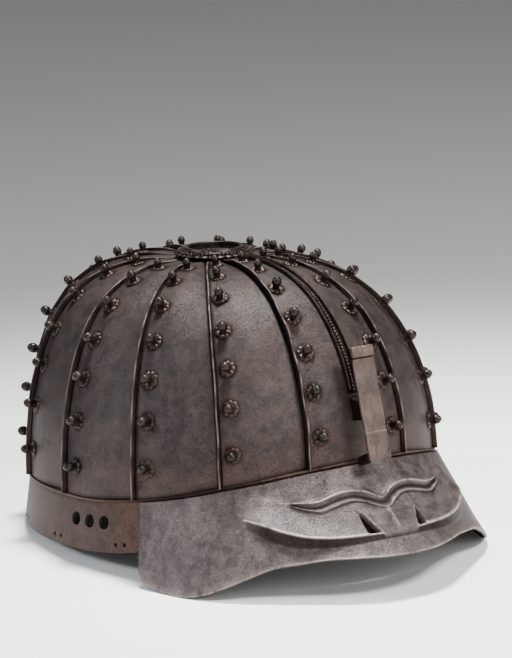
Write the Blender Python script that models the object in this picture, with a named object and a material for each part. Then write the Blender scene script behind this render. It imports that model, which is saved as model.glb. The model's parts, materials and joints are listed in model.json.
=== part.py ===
"""Riveted iron helmet bowl with a neck band, a wide embossed peak and a crest holder.

The bowl is fourteen overlapping iron plates. The front plate lies on top, and each
plate behind it is tucked under the one in front, down to the back plate. The rear
edge of every upper plate is turned up into a thin rib, and a column of tall round
headed rivets stands just in front of that rib.

Shapes are worked out in the helmet's own frame: the origin is in the middle of the
bowl at the height of its lower back edge, the front faces -Y, the wearer's left is
+X, and angles around the bowl count from the front. At the end the whole helmet is
tilted and lifted so that it rests on the back of its band and on both peak wings.
"""

import math
from typing import Callable, NamedTuple

import bmesh
import bpy
from mathutils import Vector

MM = 0.001

# Bowl: a rounded dome that is fuller at the back than at the front
BOWL_HALF_WIDTH = 102.8 * MM
BOWL_FRONT_REACH = 115.0 * MM
BOWL_BACK_REACH = 117.8 * MM
BOWL_HEIGHT = 112.3 * MM
CROWN_SHIFT = 9.0 * MM
BROW_RISE = 21.0 * MM
PLAN_POWER = 2.06
FRONT_FULLNESS = 2.81
BACK_FULLNESS = 3.97
RISE_POWER = 2.04

# Plates and their overlaps
PLATES_PER_SIDE = 6
FIRST_SEAM_ANGLE = math.radians(12.6)
LAST_SEAM_ANGLE = math.radians(163.8)
SEAM_PITCH = (LAST_SEAM_ANGLE - FIRST_SEAM_ANGLE) / PLATES_PER_SIDE
PLATE_THICKNESS = 1.5 * MM
PIECE_GAP = 0.3 * MM
PLATE_EYE_RADIUS = 19.0 * MM
PLATE_ROWS = 7
RIB_SET_BACK = 8.3 * MM
RIB_CROWN_SET_BACK = 4.4 * MM
TUCK_DEPTH = 6.6 * MM
TUCK_CROWN_DEPTH = 2.2 * MM
RIB_THICKNESS = 1.5 * MM
RIB_HEIGHT = 3.0 * MM
RIB_END_HEIGHT = 0.1 * MM
RIB_CROWN_GAP = 1.5 * MM
RIB_RUN_OUT = 0.04

# Rivets with tall round heads, one column to each seam
RIVET_RADIUS = 2.6 * MM
RIVET_HEIGHT = 7.7 * MM
RIVET_ROOT_DEPTH = 1.2 * MM
RIVET_SIDES = 5
RIVET_ROWS = (
    # height of the row as a share of a right angle, size as a share of the lowest rivets
    (0.083, 1.00),
    (0.222, 1.00),
    (0.354, 1.00),
    (0.493, 1.00),
    (0.640, 0.95),
    (0.778, 0.85),
    (0.882, 0.78),
)
RIVET_PROFILE = (
    # share of the height, share of the radius
    (0.55, 1.00),
    (0.88, 0.62),
)
RIVET_NECK_SHARE = 0.74

# Moulding down the front plate
MOULDING_LOW_WIDTH = 8.6 * MM
MOULDING_HIGH_WIDTH = 5.4 * MM
MOULDING_HEIGHT = 2.4 * MM
MOULDING_GROOVE_DEPTH = 1.3 * MM
MOULDING_LOW_SHARE = 0.21

# Crown fitting round the open eye
CROWN_EYE_RADIUS = 14.0 * MM
ROSETTE_RADIUS = 22.0 * MM
ROSETTE_THICKNESS = 1.5 * MM
COLLAR_RADIUS = 18.6 * MM
COLLAR_TOP_RADIUS = 16.4 * MM
COLLAR_HEIGHT = 1.9 * MM
CROWN_SIDES = 22

# Neck band under the plates
BAND_DEPTH = 28.4 * MM
BAND_THICKNESS = 1.8 * MM
BAND_TUCK_HEIGHT = 6.0 * MM
BAND_TUCK_GAP = 1.0 * MM
BAND_TOP_LIFT = 0.8 * MM
BAND_FLARE = 3.7 * MM
LEDGE_GAP = 0.4 * MM
LEDGE_THICKNESS = 1.2 * MM
LEDGE_OVERHANG = 0.8 * MM
BAND_SEGMENTS = 36

# Holes through the neck band
CORD_HOLE_RADIUS = 3.6 * MM
CORD_HOLE_COUNT = 3
CORD_HOLE_DROP = 12.6 * MM
CORD_HOLE_ANGLE = math.radians(83.0)
CORD_HOLE_SPACING = 9.6 * MM
CORD_HOLE_SIDES = 10
LACE_HOLE_RADIUS = 1.1 * MM
LACE_HOLE_SIDES = 6
LACE_HOLE_SPACING = 5.2 * MM
LACE_HOLE_RISE = 4.4 * MM
LACE_PAIRS_PER_SIDE = 5
LACE_FIRST_ANGLE = math.radians(71.6)
LACE_PITCH = math.radians(24.0)

# Peak with side wings, embossed in front
PEAK_HALF_ANGLE = math.radians(64.8)
PEAK_SIDE_RAKE = 0.045
PEAK_THICKNESS = 1.8 * MM
PEAK_DEPTH = 46.4 * MM
PEAK_FRONT_SLOPE = 0.80
PEAK_SIDE_SLOPE = 0.27
PEAK_SEAT_GAP = 0.4 * MM
PEAK_HALF_COLUMNS = 16
BROW_EMBOSS = 1.9 * MM
HORN_EMBOSS = 4.2 * MM
PEAK_EDGE = (
    # share of the half angle, drop of the lower edge as a share of the depth
    (0.000, 0.996),
    (0.095, 0.984),
    (0.190, 0.938),
    (0.285, 0.890),
    (0.350, 0.879),
    (0.480, 0.884),
    (0.580, 0.953),
    (0.665, 1.017),
    (0.740, 1.060),
    (0.800, 1.060),
    (0.860, 1.020),
    (0.915, 0.965),
    (0.955, 0.918),
    (0.985, 0.865),
    (1.000, 0.787),
)
PEAK_RELIEF = (
    # share of the half angle; brow top, brow foot, horn crest and horn foot as shares
    # of the depth; brow height and horn height as shares of their embossing
    (0.000, 0.384, 0.496, 0.763, 0.824, 1.00, 0.80),
    (0.053, 0.310, 0.427, 0.762, 0.824, 1.00, 0.85),
    (0.107, 0.280, 0.375, 0.754, 0.822, 1.00, 0.95),
    (0.152, 0.274, 0.373, 0.747, 0.817, 1.00, 1.00),
    (0.206, 0.290, 0.400, 0.736, 0.815, 1.00, 1.00),
    (0.259, 0.315, 0.420, 0.714, 0.800, 1.00, 1.00),
    (0.312, 0.313, 0.390, 0.680, 0.780, 0.80, 1.00),
    (0.373, 0.290, 0.330, 0.620, 0.745, 0.00, 1.00),
    (0.427, 0.250, 0.330, 0.553, 0.690, 0.00, 0.95),
    (0.480, 0.220, 0.320, 0.468, 0.590, 0.00, 0.80),
    (0.518, 0.200, 0.300, 0.415, 0.520, 0.00, 0.55),
    (0.559, 0.200, 0.300, 0.400, 0.500, 0.00, 0.00),
    (1.000, 0.200, 0.300, 0.420, 0.540, 0.00, 0.00),
)

# Crest holder: a flat plate that a post holds off the front plate
CREST_WIDTH = 13.6 * MM
CREST_LENGTH = 60.0 * MM
CREST_THICKNESS = 2.0 * MM
CREST_STAND_OFF = 19.0 * MM
CREST_FOOT_RISE = 2.2 * MM
CREST_LEAN = math.radians(14.0)
CREST_LIP_LENGTH = 5.6 * MM
CREST_LIP_THICKNESS = 0.9 * MM
POST_WIDTH = 5.6 * MM
POST_HEIGHT = 10.8 * MM
POST_RISE = 20.0 * MM
POST_ROOT = 1.0 * MM

LOW_LIFT = -PLATE_THICKNESS - PIECE_GAP / 2
HIGH_LIFT = PIECE_GAP / 2
PLATE_TOP_LIFT = HIGH_LIFT + PLATE_THICKNESS
RIB_END_RADIUS = ROSETTE_RADIUS + RIB_CROWN_GAP
CROWN_CENTRE = Vector((0.0, CROWN_SHIFT, 0.0))


def signed_power(value, power):
    """Raise the size of a value to a power and keep its sign."""
    return math.copysign(abs(value) ** power, value)


def edge_height(phi):
    """Height of the bowl's lower edge, which rises over the brow."""
    return BROW_RISE * max(math.cos(phi), 0.0) ** 2


def fullness(phi):
    """Roundness of the upright section at an angle around the bowl."""
    back_share = (1.0 - math.cos(phi)) / 2.0
    return FRONT_FULLNESS + (BACK_FULLNESS - FRONT_FULLNESS) * back_share


def bowl_point(phi, psi, lift):
    """Point on the dome, lifted off its mean surface."""
    reach = BOWL_FRONT_REACH if math.cos(phi) > 0.0 else BOWL_BACK_REACH
    inward = math.cos(psi) ** (2.0 / fullness(phi))
    rise = math.sin(psi) ** (2.0 / RISE_POWER)
    x = (BOWL_HALF_WIDTH + lift) * signed_power(math.sin(phi), 2.0 / PLAN_POWER) * inward
    y = -(reach + lift) * signed_power(math.cos(phi), 2.0 / PLAN_POWER) * inward
    z = (BOWL_HEIGHT + lift) * rise + edge_height(phi) * math.cos(psi)
    return Vector((x, y + CROWN_SHIFT * math.sin(psi) ** 2, z))


def wall_point(phi, lift, height):
    """Point on the upright wall at a height above or below the lower edge."""
    if height > 0.0:
        psi = math.asin((height / BOWL_HEIGHT) ** (RISE_POWER / 2.0))
        point = bowl_point(phi, psi, lift)
    else:
        point = bowl_point(phi, 0.0, lift)
    point.z = edge_height(phi) + height
    return point


def surface_normal(surface, first, second):
    """Outward normal of a surface that is a function of two values."""
    step = 1.0e-4
    along = surface(first + step, second) - surface(first - step, second)
    up = surface(first, second + step) - surface(first, second - step)
    return along.cross(up).normalized()


def plan_radius(phi, psi):
    """Distance from the upright line through the crown."""
    point = bowl_point(phi, psi, 0.0)
    return math.hypot(point.x, point.y - CROWN_SHIFT * math.sin(psi) ** 2)


def radius_turn(phi, radius):
    """Angle up the dome at which it has closed in to a radius."""
    share = radius / plan_radius(phi, 0.0)
    return math.acos(share ** (fullness(phi) / 2.0))


def row_turn(phi, share):
    """Angle up the dome of a row: 0 is the lower edge, 1 the ribs' end, 2 the eye."""
    beyond = max(share - 1.0, 0.0)
    radius = RIB_END_RADIUS + (PLATE_EYE_RADIUS - RIB_END_RADIUS) * beyond
    return min(share, 1.0) * radius_turn(phi, radius)


def seam_angle(seam):
    """Angle of a seam's rivet column from the front."""
    return FIRST_SEAM_ANGLE + SEAM_PITCH * (seam - 1)


def seam_offset(seam, share, low_distance, crown_distance):
    """Angle of a line behind a rivet column, at distances that narrow to the crown."""
    angle = seam_angle(seam)
    radius = plan_radius(angle, row_turn(angle, share))
    spread = (radius - PLATE_EYE_RADIUS) / (plan_radius(angle, 0.0) - PLATE_EYE_RADIUS)
    return angle + (crown_distance + (low_distance - crown_distance) * spread) / radius


def tuck_start(seam, share):
    """Angle of the hidden front edge of the plate under a seam."""
    return seam_offset(seam, share, -TUCK_DEPTH, -TUCK_CROWN_DEPTH)


def rib_rear(seam, share):
    """Angle of the rear face of a rib."""
    return seam_offset(seam, share, RIB_SET_BACK, RIB_CROWN_SET_BACK)


def rib_front(seam, share):
    """Angle of the front face of a rib."""
    return seam_offset(
        seam, share, RIB_SET_BACK - RIB_THICKNESS, RIB_CROWN_SET_BACK - RIB_THICKNESS
    )


def rib_rise(share):
    """Height of a rib above its plate, which runs out before the rosette."""
    left = min(max((1.0 - share) / RIB_RUN_OUT, 0.0), 1.0)
    return RIB_END_HEIGHT + (RIB_HEIGHT - RIB_END_HEIGHT) * left


def smooth_lookup(table, share):
    """Values of a table's row at a share, on a smooth curve through the rows."""
    last = len(table) - 2
    index = 0
    while index < last and table[index + 1][0] < share:
        index += 1
    low, high = table[index], table[index + 1]
    before = table[max(index - 1, 0)]
    after = table[min(index + 2, last + 1)]
    span = high[0] - low[0]
    t = (share - low[0]) / span
    values = []
    for column in range(1, len(low)):
        slope_low = (high[column] - before[column]) / (high[0] - before[0]) * span
        slope_high = (after[column] - low[column]) / (after[0] - low[0]) * span
        values.append(
            (2 * t**3 - 3 * t**2 + 1) * low[column]
            + (t**3 - 2 * t**2 + t) * slope_low
            + (3 * t**2 - 2 * t**3) * high[column]
            + (t**3 - t**2) * slope_high
        )
    return values


def make_material(name, colour, roughness, metallic):
    """Principled material with plain values."""
    material = bpy.data.materials.new(name)
    material.use_nodes = True
    shader = material.node_tree.nodes["Principled BSDF"]
    shader.inputs["Base Color"].default_value = (*colour, 1.0)
    shader.inputs["Roughness"].default_value = roughness
    shader.inputs["Metallic"].default_value = metallic
    return material


def make_object(name, vertices, faces, material, parent, smooth_angle=math.radians(35)):
    """Mesh object from points and faces, parented to the helmet's frame."""
    mesh = bpy.data.meshes.new(name)
    mesh.from_pydata([tuple(v) for v in vertices], [], faces)
    mesh.validate()
    builder = bmesh.new()
    builder.from_mesh(mesh)
    bmesh.ops.recalc_face_normals(builder, faces=builder.faces)
    builder.to_mesh(mesh)
    builder.free()
    mesh.shade_smooth()
    mesh.set_sharp_from_angle(angle=smooth_angle)
    mesh.materials.append(material)
    item = bpy.data.objects.new(name, mesh)
    item.parent = parent
    bpy.context.collection.objects.link(item)
    return item


def turn_from_front(point):
    """Angle of a point around the crown, counted from the front on either side."""
    return math.atan2(abs(point.x), CROWN_SHIFT - point.y)


def split_quad(vertices, corners):
    """Two triangles of a quad, split the same way on pieces that lie on each other."""
    a, b, c, d = corners
    if turn_from_front(vertices[a]) < turn_from_front(vertices[b]):
        return [(a, b, c), (a, c, d)]
    return [(a, b, d), (b, c, d)]


def sweep_loops(loops, closed):
    """Points and triangles of a closed loop swept through a row of places."""
    vertices = [point for loop in loops for point in loop]
    size = len(loops[0])
    count = len(loops)
    faces = []
    for i in range(count if closed else count - 1):
        near, far = i * size, (i + 1) % count * size
        for j in range(size):
            k = (j + 1) % size
            faces += split_quad(vertices, (near + j, near + k, far + k, far + j))
    if not closed:
        faces.append(tuple(range(size)))
        faces.append(tuple(range((count - 1) * size, count * size)))
    return vertices, faces


def add_boolean(item, cutter, operation):
    """Join or cut an object with another one that stays hidden."""
    cutter.hide_render = True
    cutter.display_type = "WIRE"
    modifier = item.modifiers.new(operation.lower(), "BOOLEAN")
    modifier.operation = operation
    modifier.solver = "EXACT"
    modifier.object = cutter


class Column(NamedTuple):
    """Line up a plate: its angle at a row, and the lift of the inner side there."""

    angle_at: Callable
    lift: float
    is_inside: bool = True
    is_rib_top: bool = False


def plate_section(columns, share):
    """Closed section of one plate at a row: outer side, rib and inner side."""
    outer = []
    inner = []
    for column in columns:
        phi = column.angle_at(share)
        psi = row_turn(phi, share)
        rise = rib_rise(share) if column.is_rib_top else 0.0
        outer.append(bowl_point(phi, psi, column.lift + PLATE_THICKNESS + rise))
        if column.is_inside:
            inner.append(bowl_point(phi, psi, column.lift))
    return outer + inner[::-1]


def rib_columns(seam):
    """Columns of the turned-up rear edge of an upper plate."""
    return [
        Column(lambda share: rib_front(seam, share), HIGH_LIFT, is_inside=False),
        Column(lambda share: rib_front(seam, share), HIGH_LIFT, is_inside=False, is_rib_top=True),
        Column(lambda share: rib_rear(seam, share), HIGH_LIFT, is_inside=False, is_rib_top=True),
        Column(lambda share: rib_rear(seam, share), HIGH_LIFT),
    ]


def tucked_columns(seam):
    """Columns of a lower plate's front edge, where the upper plate covers it."""
    return [
        Column(lambda share: tuck_start(seam, share), LOW_LIFT),
        Column(lambda share: rib_rear(seam, share), LOW_LIFT),
    ]


def middle_column(first, second):
    """Column half way between two others."""
    def angle_at(share):
        return (first.angle_at(share) + second.angle_at(share)) / 2.0

    return Column(angle_at, (first.lift + second.lift) / 2.0)


def mirrored(columns, middle=0.0):
    """Columns mirrored about an upright middle line, in the opposite order."""
    def turned(column):
        return column._replace(angle_at=lambda share: 2.0 * middle - column.angle_at(share))

    return [turned(column) for column in reversed(columns)]


def side_plate_columns(number):
    """Columns of a left plate, from its tucked front edge to its rear rib."""
    tucked = tucked_columns(number)
    raised = Column(lambda share: tuck_start(number + 1, share), HIGH_LIFT)
    return tucked + [middle_column(tucked[-1], raised), raised] + rib_columns(number + 1)


def front_plate_columns():
    """Columns of the front plate, which lies on top of both neighbours."""
    left = [Column(lambda share: tuck_start(1, share), HIGH_LIFT)] + rib_columns(1)
    return mirrored(left) + [Column(lambda share: 0.0, HIGH_LIFT)] + left


def back_plate_columns():
    """Columns of the back plate, which is tucked under both neighbours."""
    left = tucked_columns(PLATES_PER_SIDE + 1)
    centre = Column(lambda share: math.pi, LOW_LIFT)
    left.append(middle_column(left[-1], centre))
    return left + [centre] + mirrored(left, math.pi)


def rivet_points(phi, psi, size):
    """Rings and tip of one rivet head that stands on the upper plate."""
    def surface(first, second):
        return bowl_point(first, second, PLATE_TOP_LIFT)

    base = surface(phi, psi)
    normal = surface_normal(surface, phi, psi)
    turn = normal.to_track_quat("Z", "Y").to_matrix()
    tall, wide = size * RIVET_HEIGHT, size * RIVET_RADIUS
    rings = [(-RIVET_ROOT_DEPTH, RIVET_NECK_SHARE * wide)]
    rings += [(height * tall, radius * wide) for height, radius in RIVET_PROFILE]
    loops = []
    for height, radius in rings:
        loop = []
        for i in range(RIVET_SIDES):
            angle = 2 * math.pi * i / RIVET_SIDES
            spoke = Vector((radius * math.cos(angle), radius * math.sin(angle), height))
            loop.append(base + turn @ spoke)
        loops.append(loop)
    return loops, base + normal * tall


def add_rivets(plate, seams, material, parent):
    """Rivet heads of a plate's own seams, joined to the plate."""
    vertices = []
    faces = []
    for seam, side in seams:
        for share, size in RIVET_ROWS:
            loops, tip = rivet_points(side * seam_angle(seam), share * math.pi / 2.0, size)
            start = len(vertices)
            points, sides = sweep_loops(loops, closed=False)
            vertices += points + [tip]
            faces += [tuple(start + i for i in face) for face in sides[:-1]]
            top = start + len(points) - RIVET_SIDES
            for i in range(RIVET_SIDES):
                faces.append((top + i, top + (i + 1) % RIVET_SIDES, start + len(points)))
    heads = make_object(plate.name + "_rivets", vertices, faces, material, parent)
    add_boolean(plate, heads, "UNION")


def plate_shares():
    """Row shares of a plate, from its lower edge to the eye."""
    rows = [row / PLATE_ROWS for row in range(PLATE_ROWS)]
    return rows + [1.0 - RIB_RUN_OUT, 1.0, 2.0]


def build_plate(name, columns, seams, material, parent):
    """One curved plate of the bowl with its own rivet heads."""
    loops = [plate_section(columns, share) for share in plate_shares()]
    vertices, faces = sweep_loops(loops, closed=False)
    plate = make_object(name, vertices, faces, material, parent)
    if seams:
        add_rivets(plate, seams, material, parent)


def build_bowl(material, parent):
    """All plates, from the front plate to the back plate."""
    build_plate("front_plate", front_plate_columns(), [(1, -1), (1, 1)], material, parent)
    for number in range(1, PLATES_PER_SIDE + 1):
        left = side_plate_columns(number)
        build_plate(f"left_plate_{number}", left, [(number + 1, 1)], material, parent)
        build_plate(f"right_plate_{number}", mirrored(left), [(number + 1, -1)], material, parent)
    build_plate("back_plate", back_plate_columns(), [], material, parent)


def build_moulding(material, parent):
    """Grooved moulding on the middle of the front plate, from the crown downwards."""
    shares = [share for share in plate_shares() if MOULDING_LOW_SHARE < share <= 1.0]
    base = PLATE_TOP_LIFT + PIECE_GAP
    profile = [
        (-1.0, base),
        (-1.0, base + MOULDING_HEIGHT * 0.7),
        (-0.5, base + MOULDING_HEIGHT - MOULDING_GROOVE_DEPTH),
        (0.0, base + MOULDING_HEIGHT),
        (0.5, base + MOULDING_HEIGHT - MOULDING_GROOVE_DEPTH),
        (1.0, base + MOULDING_HEIGHT * 0.7),
        (1.0, base),
        (0.0, base),
    ]
    loops = []
    for share in [MOULDING_LOW_SHARE] + shares:
        rise = (share - MOULDING_LOW_SHARE) / (1.0 - MOULDING_LOW_SHARE)
        half = (MOULDING_LOW_WIDTH + (MOULDING_HIGH_WIDTH - MOULDING_LOW_WIDTH) * rise) / 2.0
        psi = row_turn(0.0, share)
        turn = half / plan_radius(0.0, psi)
        loops.append([bowl_point(turn * across, psi, lift) for across, lift in profile])
    vertices, faces = sweep_loops(loops, closed=False)
    make_object("front_moulding", vertices, faces, material, parent)


def turned_ring(name, profile, material, parent):
    """Ring turned about the crown's upright line from a closed profile."""
    loops = []
    for i in range(CROWN_SIDES):
        angle = 2 * math.pi * i / CROWN_SIDES
        spoke = Vector((math.cos(angle), math.sin(angle), 0.0))
        loops.append([CROWN_CENTRE + spoke * radius + Vector((0, 0, z)) for radius, z in profile])
    vertices, faces = sweep_loops(loops, closed=True)
    make_object(name, vertices, faces, material, parent)


def build_crown(material, parent):
    """Flat rosette and stepped collar round the open eye of the bowl."""
    front_turn = radius_turn(0.0, ROSETTE_RADIUS)
    seat = bowl_point(0.0, front_turn, PLATE_TOP_LIFT + RIB_END_HEIGHT).z + PIECE_GAP
    rosette_top = seat + ROSETTE_THICKNESS
    turned_ring(
        "crown_rosette",
        [
            (CROWN_EYE_RADIUS, seat),
            (ROSETTE_RADIUS, seat),
            (ROSETTE_RADIUS, rosette_top),
            (CROWN_EYE_RADIUS, rosette_top),
        ],
        material,
        parent,
    )
    foot = rosette_top + PIECE_GAP
    step = foot + COLLAR_HEIGHT * 0.45
    top = foot + COLLAR_HEIGHT
    turned_ring(
        "crown_collar",
        [
            (CROWN_EYE_RADIUS, foot),
            (COLLAR_RADIUS, foot),
            (COLLAR_RADIUS, step),
            (COLLAR_TOP_RADIUS, step),
            (COLLAR_TOP_RADIUS, top),
            (CROWN_EYE_RADIUS, top),
        ],
        material,
        parent,
    )


def band_profile():
    """Closed section of the neck band as pairs of lift and height."""
    seat = LOW_LIFT - BAND_TUCK_GAP
    ledge_low = -LEDGE_GAP - LEDGE_THICKNESS
    foot = BAND_TOP_LIFT + BAND_FLARE
    return [
        (seat, BAND_TUCK_HEIGHT),
        (seat, -LEDGE_GAP),
        (PLATE_TOP_LIFT + LEDGE_OVERHANG, -LEDGE_GAP),
        (PLATE_TOP_LIFT + LEDGE_OVERHANG, ledge_low),
        (BAND_TOP_LIFT, ledge_low),
        (foot, -BAND_DEPTH),
        (foot - BAND_THICKNESS, -BAND_DEPTH),
        (BAND_TOP_LIFT - BAND_THICKNESS, ledge_low - LEDGE_GAP),
        (seat - BAND_THICKNESS, BAND_THICKNESS / 2.0),
        (seat - BAND_THICKNESS, BAND_TUCK_HEIGHT),
    ]


def band_skin(phi, height):
    """Point on the outer side of the band's flared skirt."""
    top = -LEDGE_GAP - LEDGE_THICKNESS
    share = (top - height) / (BAND_DEPTH + top)
    return wall_point(phi, BAND_TOP_LIFT + BAND_FLARE * share, height)


def drill_points(phi, height, radius, sides):
    """Ends of a round drill that passes through the band."""
    centre = band_skin(phi, height)
    normal = surface_normal(band_skin, phi, height)
    turn = normal.to_track_quat("Z", "Y").to_matrix()
    loops = []
    for reach in (-3.0 * BAND_THICKNESS, 2.0 * BAND_THICKNESS):
        loop = []
        for i in range(sides):
            angle = 2 * math.pi * (i + 0.5) / sides
            loop.append(centre + turn @ Vector((radius * math.cos(angle), radius * math.sin(angle), reach)))
        loops.append(loop)
    return loops


def band_holes():
    """Angle, height, radius and side count of every hole in the band."""
    holes = []
    for side in (-1, 1):
        for i in range(CORD_HOLE_COUNT):
            along = (i - (CORD_HOLE_COUNT - 1) / 2.0) * CORD_HOLE_SPACING
            angle = CORD_HOLE_ANGLE + along / plan_radius(CORD_HOLE_ANGLE, 0.0)
            holes.append((side * angle, -CORD_HOLE_DROP, CORD_HOLE_RADIUS, CORD_HOLE_SIDES))
        for pair in range(LACE_PAIRS_PER_SIDE):
            middle = LACE_FIRST_ANGLE + LACE_PITCH * pair
            step = LACE_HOLE_SPACING / 2.0 / plan_radius(middle, 0.0)
            for angle in (middle - step, middle + step):
                holes.append((side * angle, LACE_HOLE_RISE - BAND_DEPTH, LACE_HOLE_RADIUS, LACE_HOLE_SIDES))
    return holes


def build_band(material, parent):
    """Neck band: tucked inside the plates, with a ledge under their lower edge."""
    loops = []
    for i in range(BAND_SEGMENTS):
        phi = 2 * math.pi * i / BAND_SEGMENTS
        loops.append([wall_point(phi, lift, height) for lift, height in band_profile()])
    vertices, faces = sweep_loops(loops, closed=True)
    band = make_object("neck_band", vertices, faces, material, parent)
    drill_vertices = []
    drill_faces = []
    for phi, height, radius, sides in band_holes():
        points, walls = sweep_loops(drill_points(phi, height, radius, sides), closed=False)
        start = len(drill_vertices)
        drill_vertices += points
        drill_faces += [tuple(start + i for i in face) for face in walls]
    drills = make_object("neck_band_drills", drill_vertices, drill_faces, material, parent)
    add_boolean(band, drills, "DIFFERENCE")


def peak_slope(phi):
    """Outward run of the peak for each unit of its drop."""
    return PEAK_SIDE_SLOPE + (PEAK_FRONT_SLOPE - PEAK_SIDE_SLOPE) * math.cos(phi) ** 2


def peak_skin(share, drop):
    """Point on the plain outer side of the peak, before any embossing."""
    raked = 1.0 - PEAK_SIDE_RAKE * drop / PEAK_DEPTH
    phi = share * PEAK_HALF_ANGLE * raked
    seat = BAND_TOP_LIFT + PEAK_SEAT_GAP + PEAK_THICKNESS
    point = bowl_point(phi, 0.0, seat + peak_slope(phi) * drop)
    point.z = edge_height(phi) - drop
    return point


def peak_rows(share):
    """Drop and embossed height of each row of the peak, from top to lower edge."""
    top = LEDGE_GAP + LEDGE_THICKNESS + PEAK_SEAT_GAP
    edge = smooth_lookup(PEAK_EDGE, abs(share))[0] * PEAK_DEPTH
    values = smooth_lookup(PEAK_RELIEF, abs(share))
    brow_top, brow_foot, crest, foot = [value * PEAK_DEPTH for value in values[:4]]
    brow = max(values[4], 0.0) * BROW_EMBOSS
    horn = max(values[5], 0.0) * HORN_EMBOSS
    middle = (brow_foot + crest) / 2.0
    return [
        (top, 0.0),
        (brow_top, 0.0),
        ((brow_top + brow_foot) / 2.0, brow),
        (brow_foot, 0.0),
        (middle, horn * 0.35),
        (crest, horn),
        ((crest + foot) / 2.0, horn * 0.45),
        (foot, 0.0),
        ((foot + edge) / 2.0, 0.0),
        (edge, 0.0),
    ]


def build_peak(material, parent):
    """Peak with drooping side wings and the raised brow and horns."""
    loops = []
    for column in range(-PEAK_HALF_COLUMNS, PEAK_HALF_COLUMNS + 1):
        share = column / PEAK_HALF_COLUMNS
        outer = []
        inner = []
        for drop, height in peak_rows(share):
            point = peak_skin(share, drop)
            normal = -surface_normal(peak_skin, share, drop)
            outer.append(point + normal * height)
            inner.append(point + normal * (height - PEAK_THICKNESS))
        loops.append(outer + inner[::-1])
    vertices, faces = sweep_loops(loops, closed=False)
    make_object("peak", vertices, faces, material, parent)


def front_point(height, lift):
    """Point on the front of the dome at a height."""
    low, high = 0.0, math.pi / 2.0
    for _ in range(50):
        middle = (low + high) / 2.0
        if bowl_point(0.0, middle, lift).z < height:
            low = middle
        else:
            high = middle
    return bowl_point(0.0, low, lift)


def build_crest_holder(material, parent):
    """Flat crest holder with a lip at its top end, and the post that carries it."""
    half = CREST_WIDTH / 2.0
    foot = Vector((0.0, -BOWL_FRONT_REACH - CREST_STAND_OFF, BROW_RISE + CREST_FOOT_RISE))
    up = Vector((0.0, math.sin(CREST_LEAN), math.cos(CREST_LEAN)))
    out = Vector((0.0, -math.cos(CREST_LEAN), math.sin(CREST_LEAN)))
    lip_start = CREST_LENGTH - CREST_LIP_LENGTH
    profile = [
        (0.0, 0.0),
        (lip_start, 0.0),
        (lip_start, CREST_LIP_THICKNESS),
        (CREST_LENGTH, CREST_LIP_THICKNESS),
        (CREST_LENGTH, -CREST_THICKNESS),
        (0.0, -CREST_THICKNESS),
    ]
    outline = [foot + up * along + out * off for along, off in profile]
    loops = [[point + Vector((side * half, 0.0, 0.0)) for point in outline] for side in (-1, 1)]
    vertices, faces = sweep_loops(loops, closed=False)
    holder = make_object("crest_holder", vertices, faces, material, parent)

    ring = []
    for along in (POST_RISE, POST_RISE + POST_HEIGHT):
        near = foot + up * along - out * (CREST_THICKNESS - POST_ROOT)
        seat = Vector((0.0, front_point(near.z, PLATE_TOP_LIFT + PIECE_GAP).y, near.z))
        ring = [near, seat] + ring[::-1]
    post_half = POST_WIDTH / 2.0
    post_loops = [[point + Vector((side * post_half, 0.0, 0.0)) for point in ring] for side in (-1, 1)]
    post_vertices, post_faces = sweep_loops(post_loops, closed=False)
    post = make_object("crest_holder_post", post_vertices, post_faces, material, parent)
    add_boolean(holder, post, "UNION")


def tilted_height(point, tilt):
    """Height of a point once the helmet's front is raised by an angle."""
    return point.z * math.cos(tilt) - point.y * math.sin(tilt)


def lowest(points, tilt):
    """Lowest height among some points at a tilt."""
    return min(tilted_height(point, tilt) for point in points)


def resting_tilt():
    """Angle at which the band's back and the peak's wings touch one flat surface."""
    band = [wall_point(math.pi * i / 60, BAND_TOP_LIFT + BAND_FLARE, -BAND_DEPTH) for i in range(31, 61)]
    wings = [peak_skin(i / 60, peak_rows(i / 60)[-1][0]) for i in range(61)]
    low, high = math.radians(-25), math.radians(25)
    for _ in range(60):
        middle = (low + high) / 2.0
        if lowest(band, middle) > lowest(wings, middle):
            low = middle
        else:
            high = middle
    return (low + high) / 2.0


def rest_on_ground(frame):
    """Tilt the frame to its resting pose, and put the box's bottom centre at the origin."""
    frame.rotation_euler = (-resting_tilt(), 0.0, 0.0)
    bpy.context.view_layer.update()
    depsgraph = bpy.context.evaluated_depsgraph_get()
    low = Vector((math.inf,) * 3)
    high = Vector((-math.inf,) * 3)
    for item in bpy.context.scene.objects:
        if item.type != "MESH" or item.hide_render:
            continue
        evaluated = item.evaluated_get(depsgraph)
        mesh = evaluated.to_mesh()
        for vertex in mesh.vertices:
            place = evaluated.matrix_world @ vertex.co
            low = Vector(map(min, low, place))
            high = Vector(map(max, high, place))
        evaluated.to_mesh_clear()
    frame.location = (-(low.x + high.x) / 2.0, -(low.y + high.y) / 2.0, -low.z)
    bpy.context.view_layer.update()


def main():
    """Build the whole helmet."""
    for item in list(bpy.data.objects):
        bpy.data.objects.remove(item, do_unlink=True)
    frame = bpy.data.objects.new("helmet_frame", None)
    bpy.context.collection.objects.link(frame)
    plate_iron = make_material("plate_iron", (0.100, 0.085, 0.080), 0.48, 0.75)
    band_iron = make_material("band_iron", (0.125, 0.085, 0.070), 0.55, 0.65)
    peak_iron = make_material("peak_iron", (0.150, 0.130, 0.125), 0.45, 0.75)
    fitting_iron = make_material("fitting_iron", (0.090, 0.080, 0.075), 0.50, 0.75)
    crest_iron = make_material("crest_iron", (0.180, 0.145, 0.135), 0.55, 0.60)
    build_bowl(plate_iron, frame)
    build_moulding(fitting_iron, frame)
    build_crown(fitting_iron, frame)
    build_band(band_iron, frame)
    build_peak(peak_iron, frame)
    build_crest_holder(crest_iron, frame)
    rest_on_ground(frame)


main()
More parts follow.
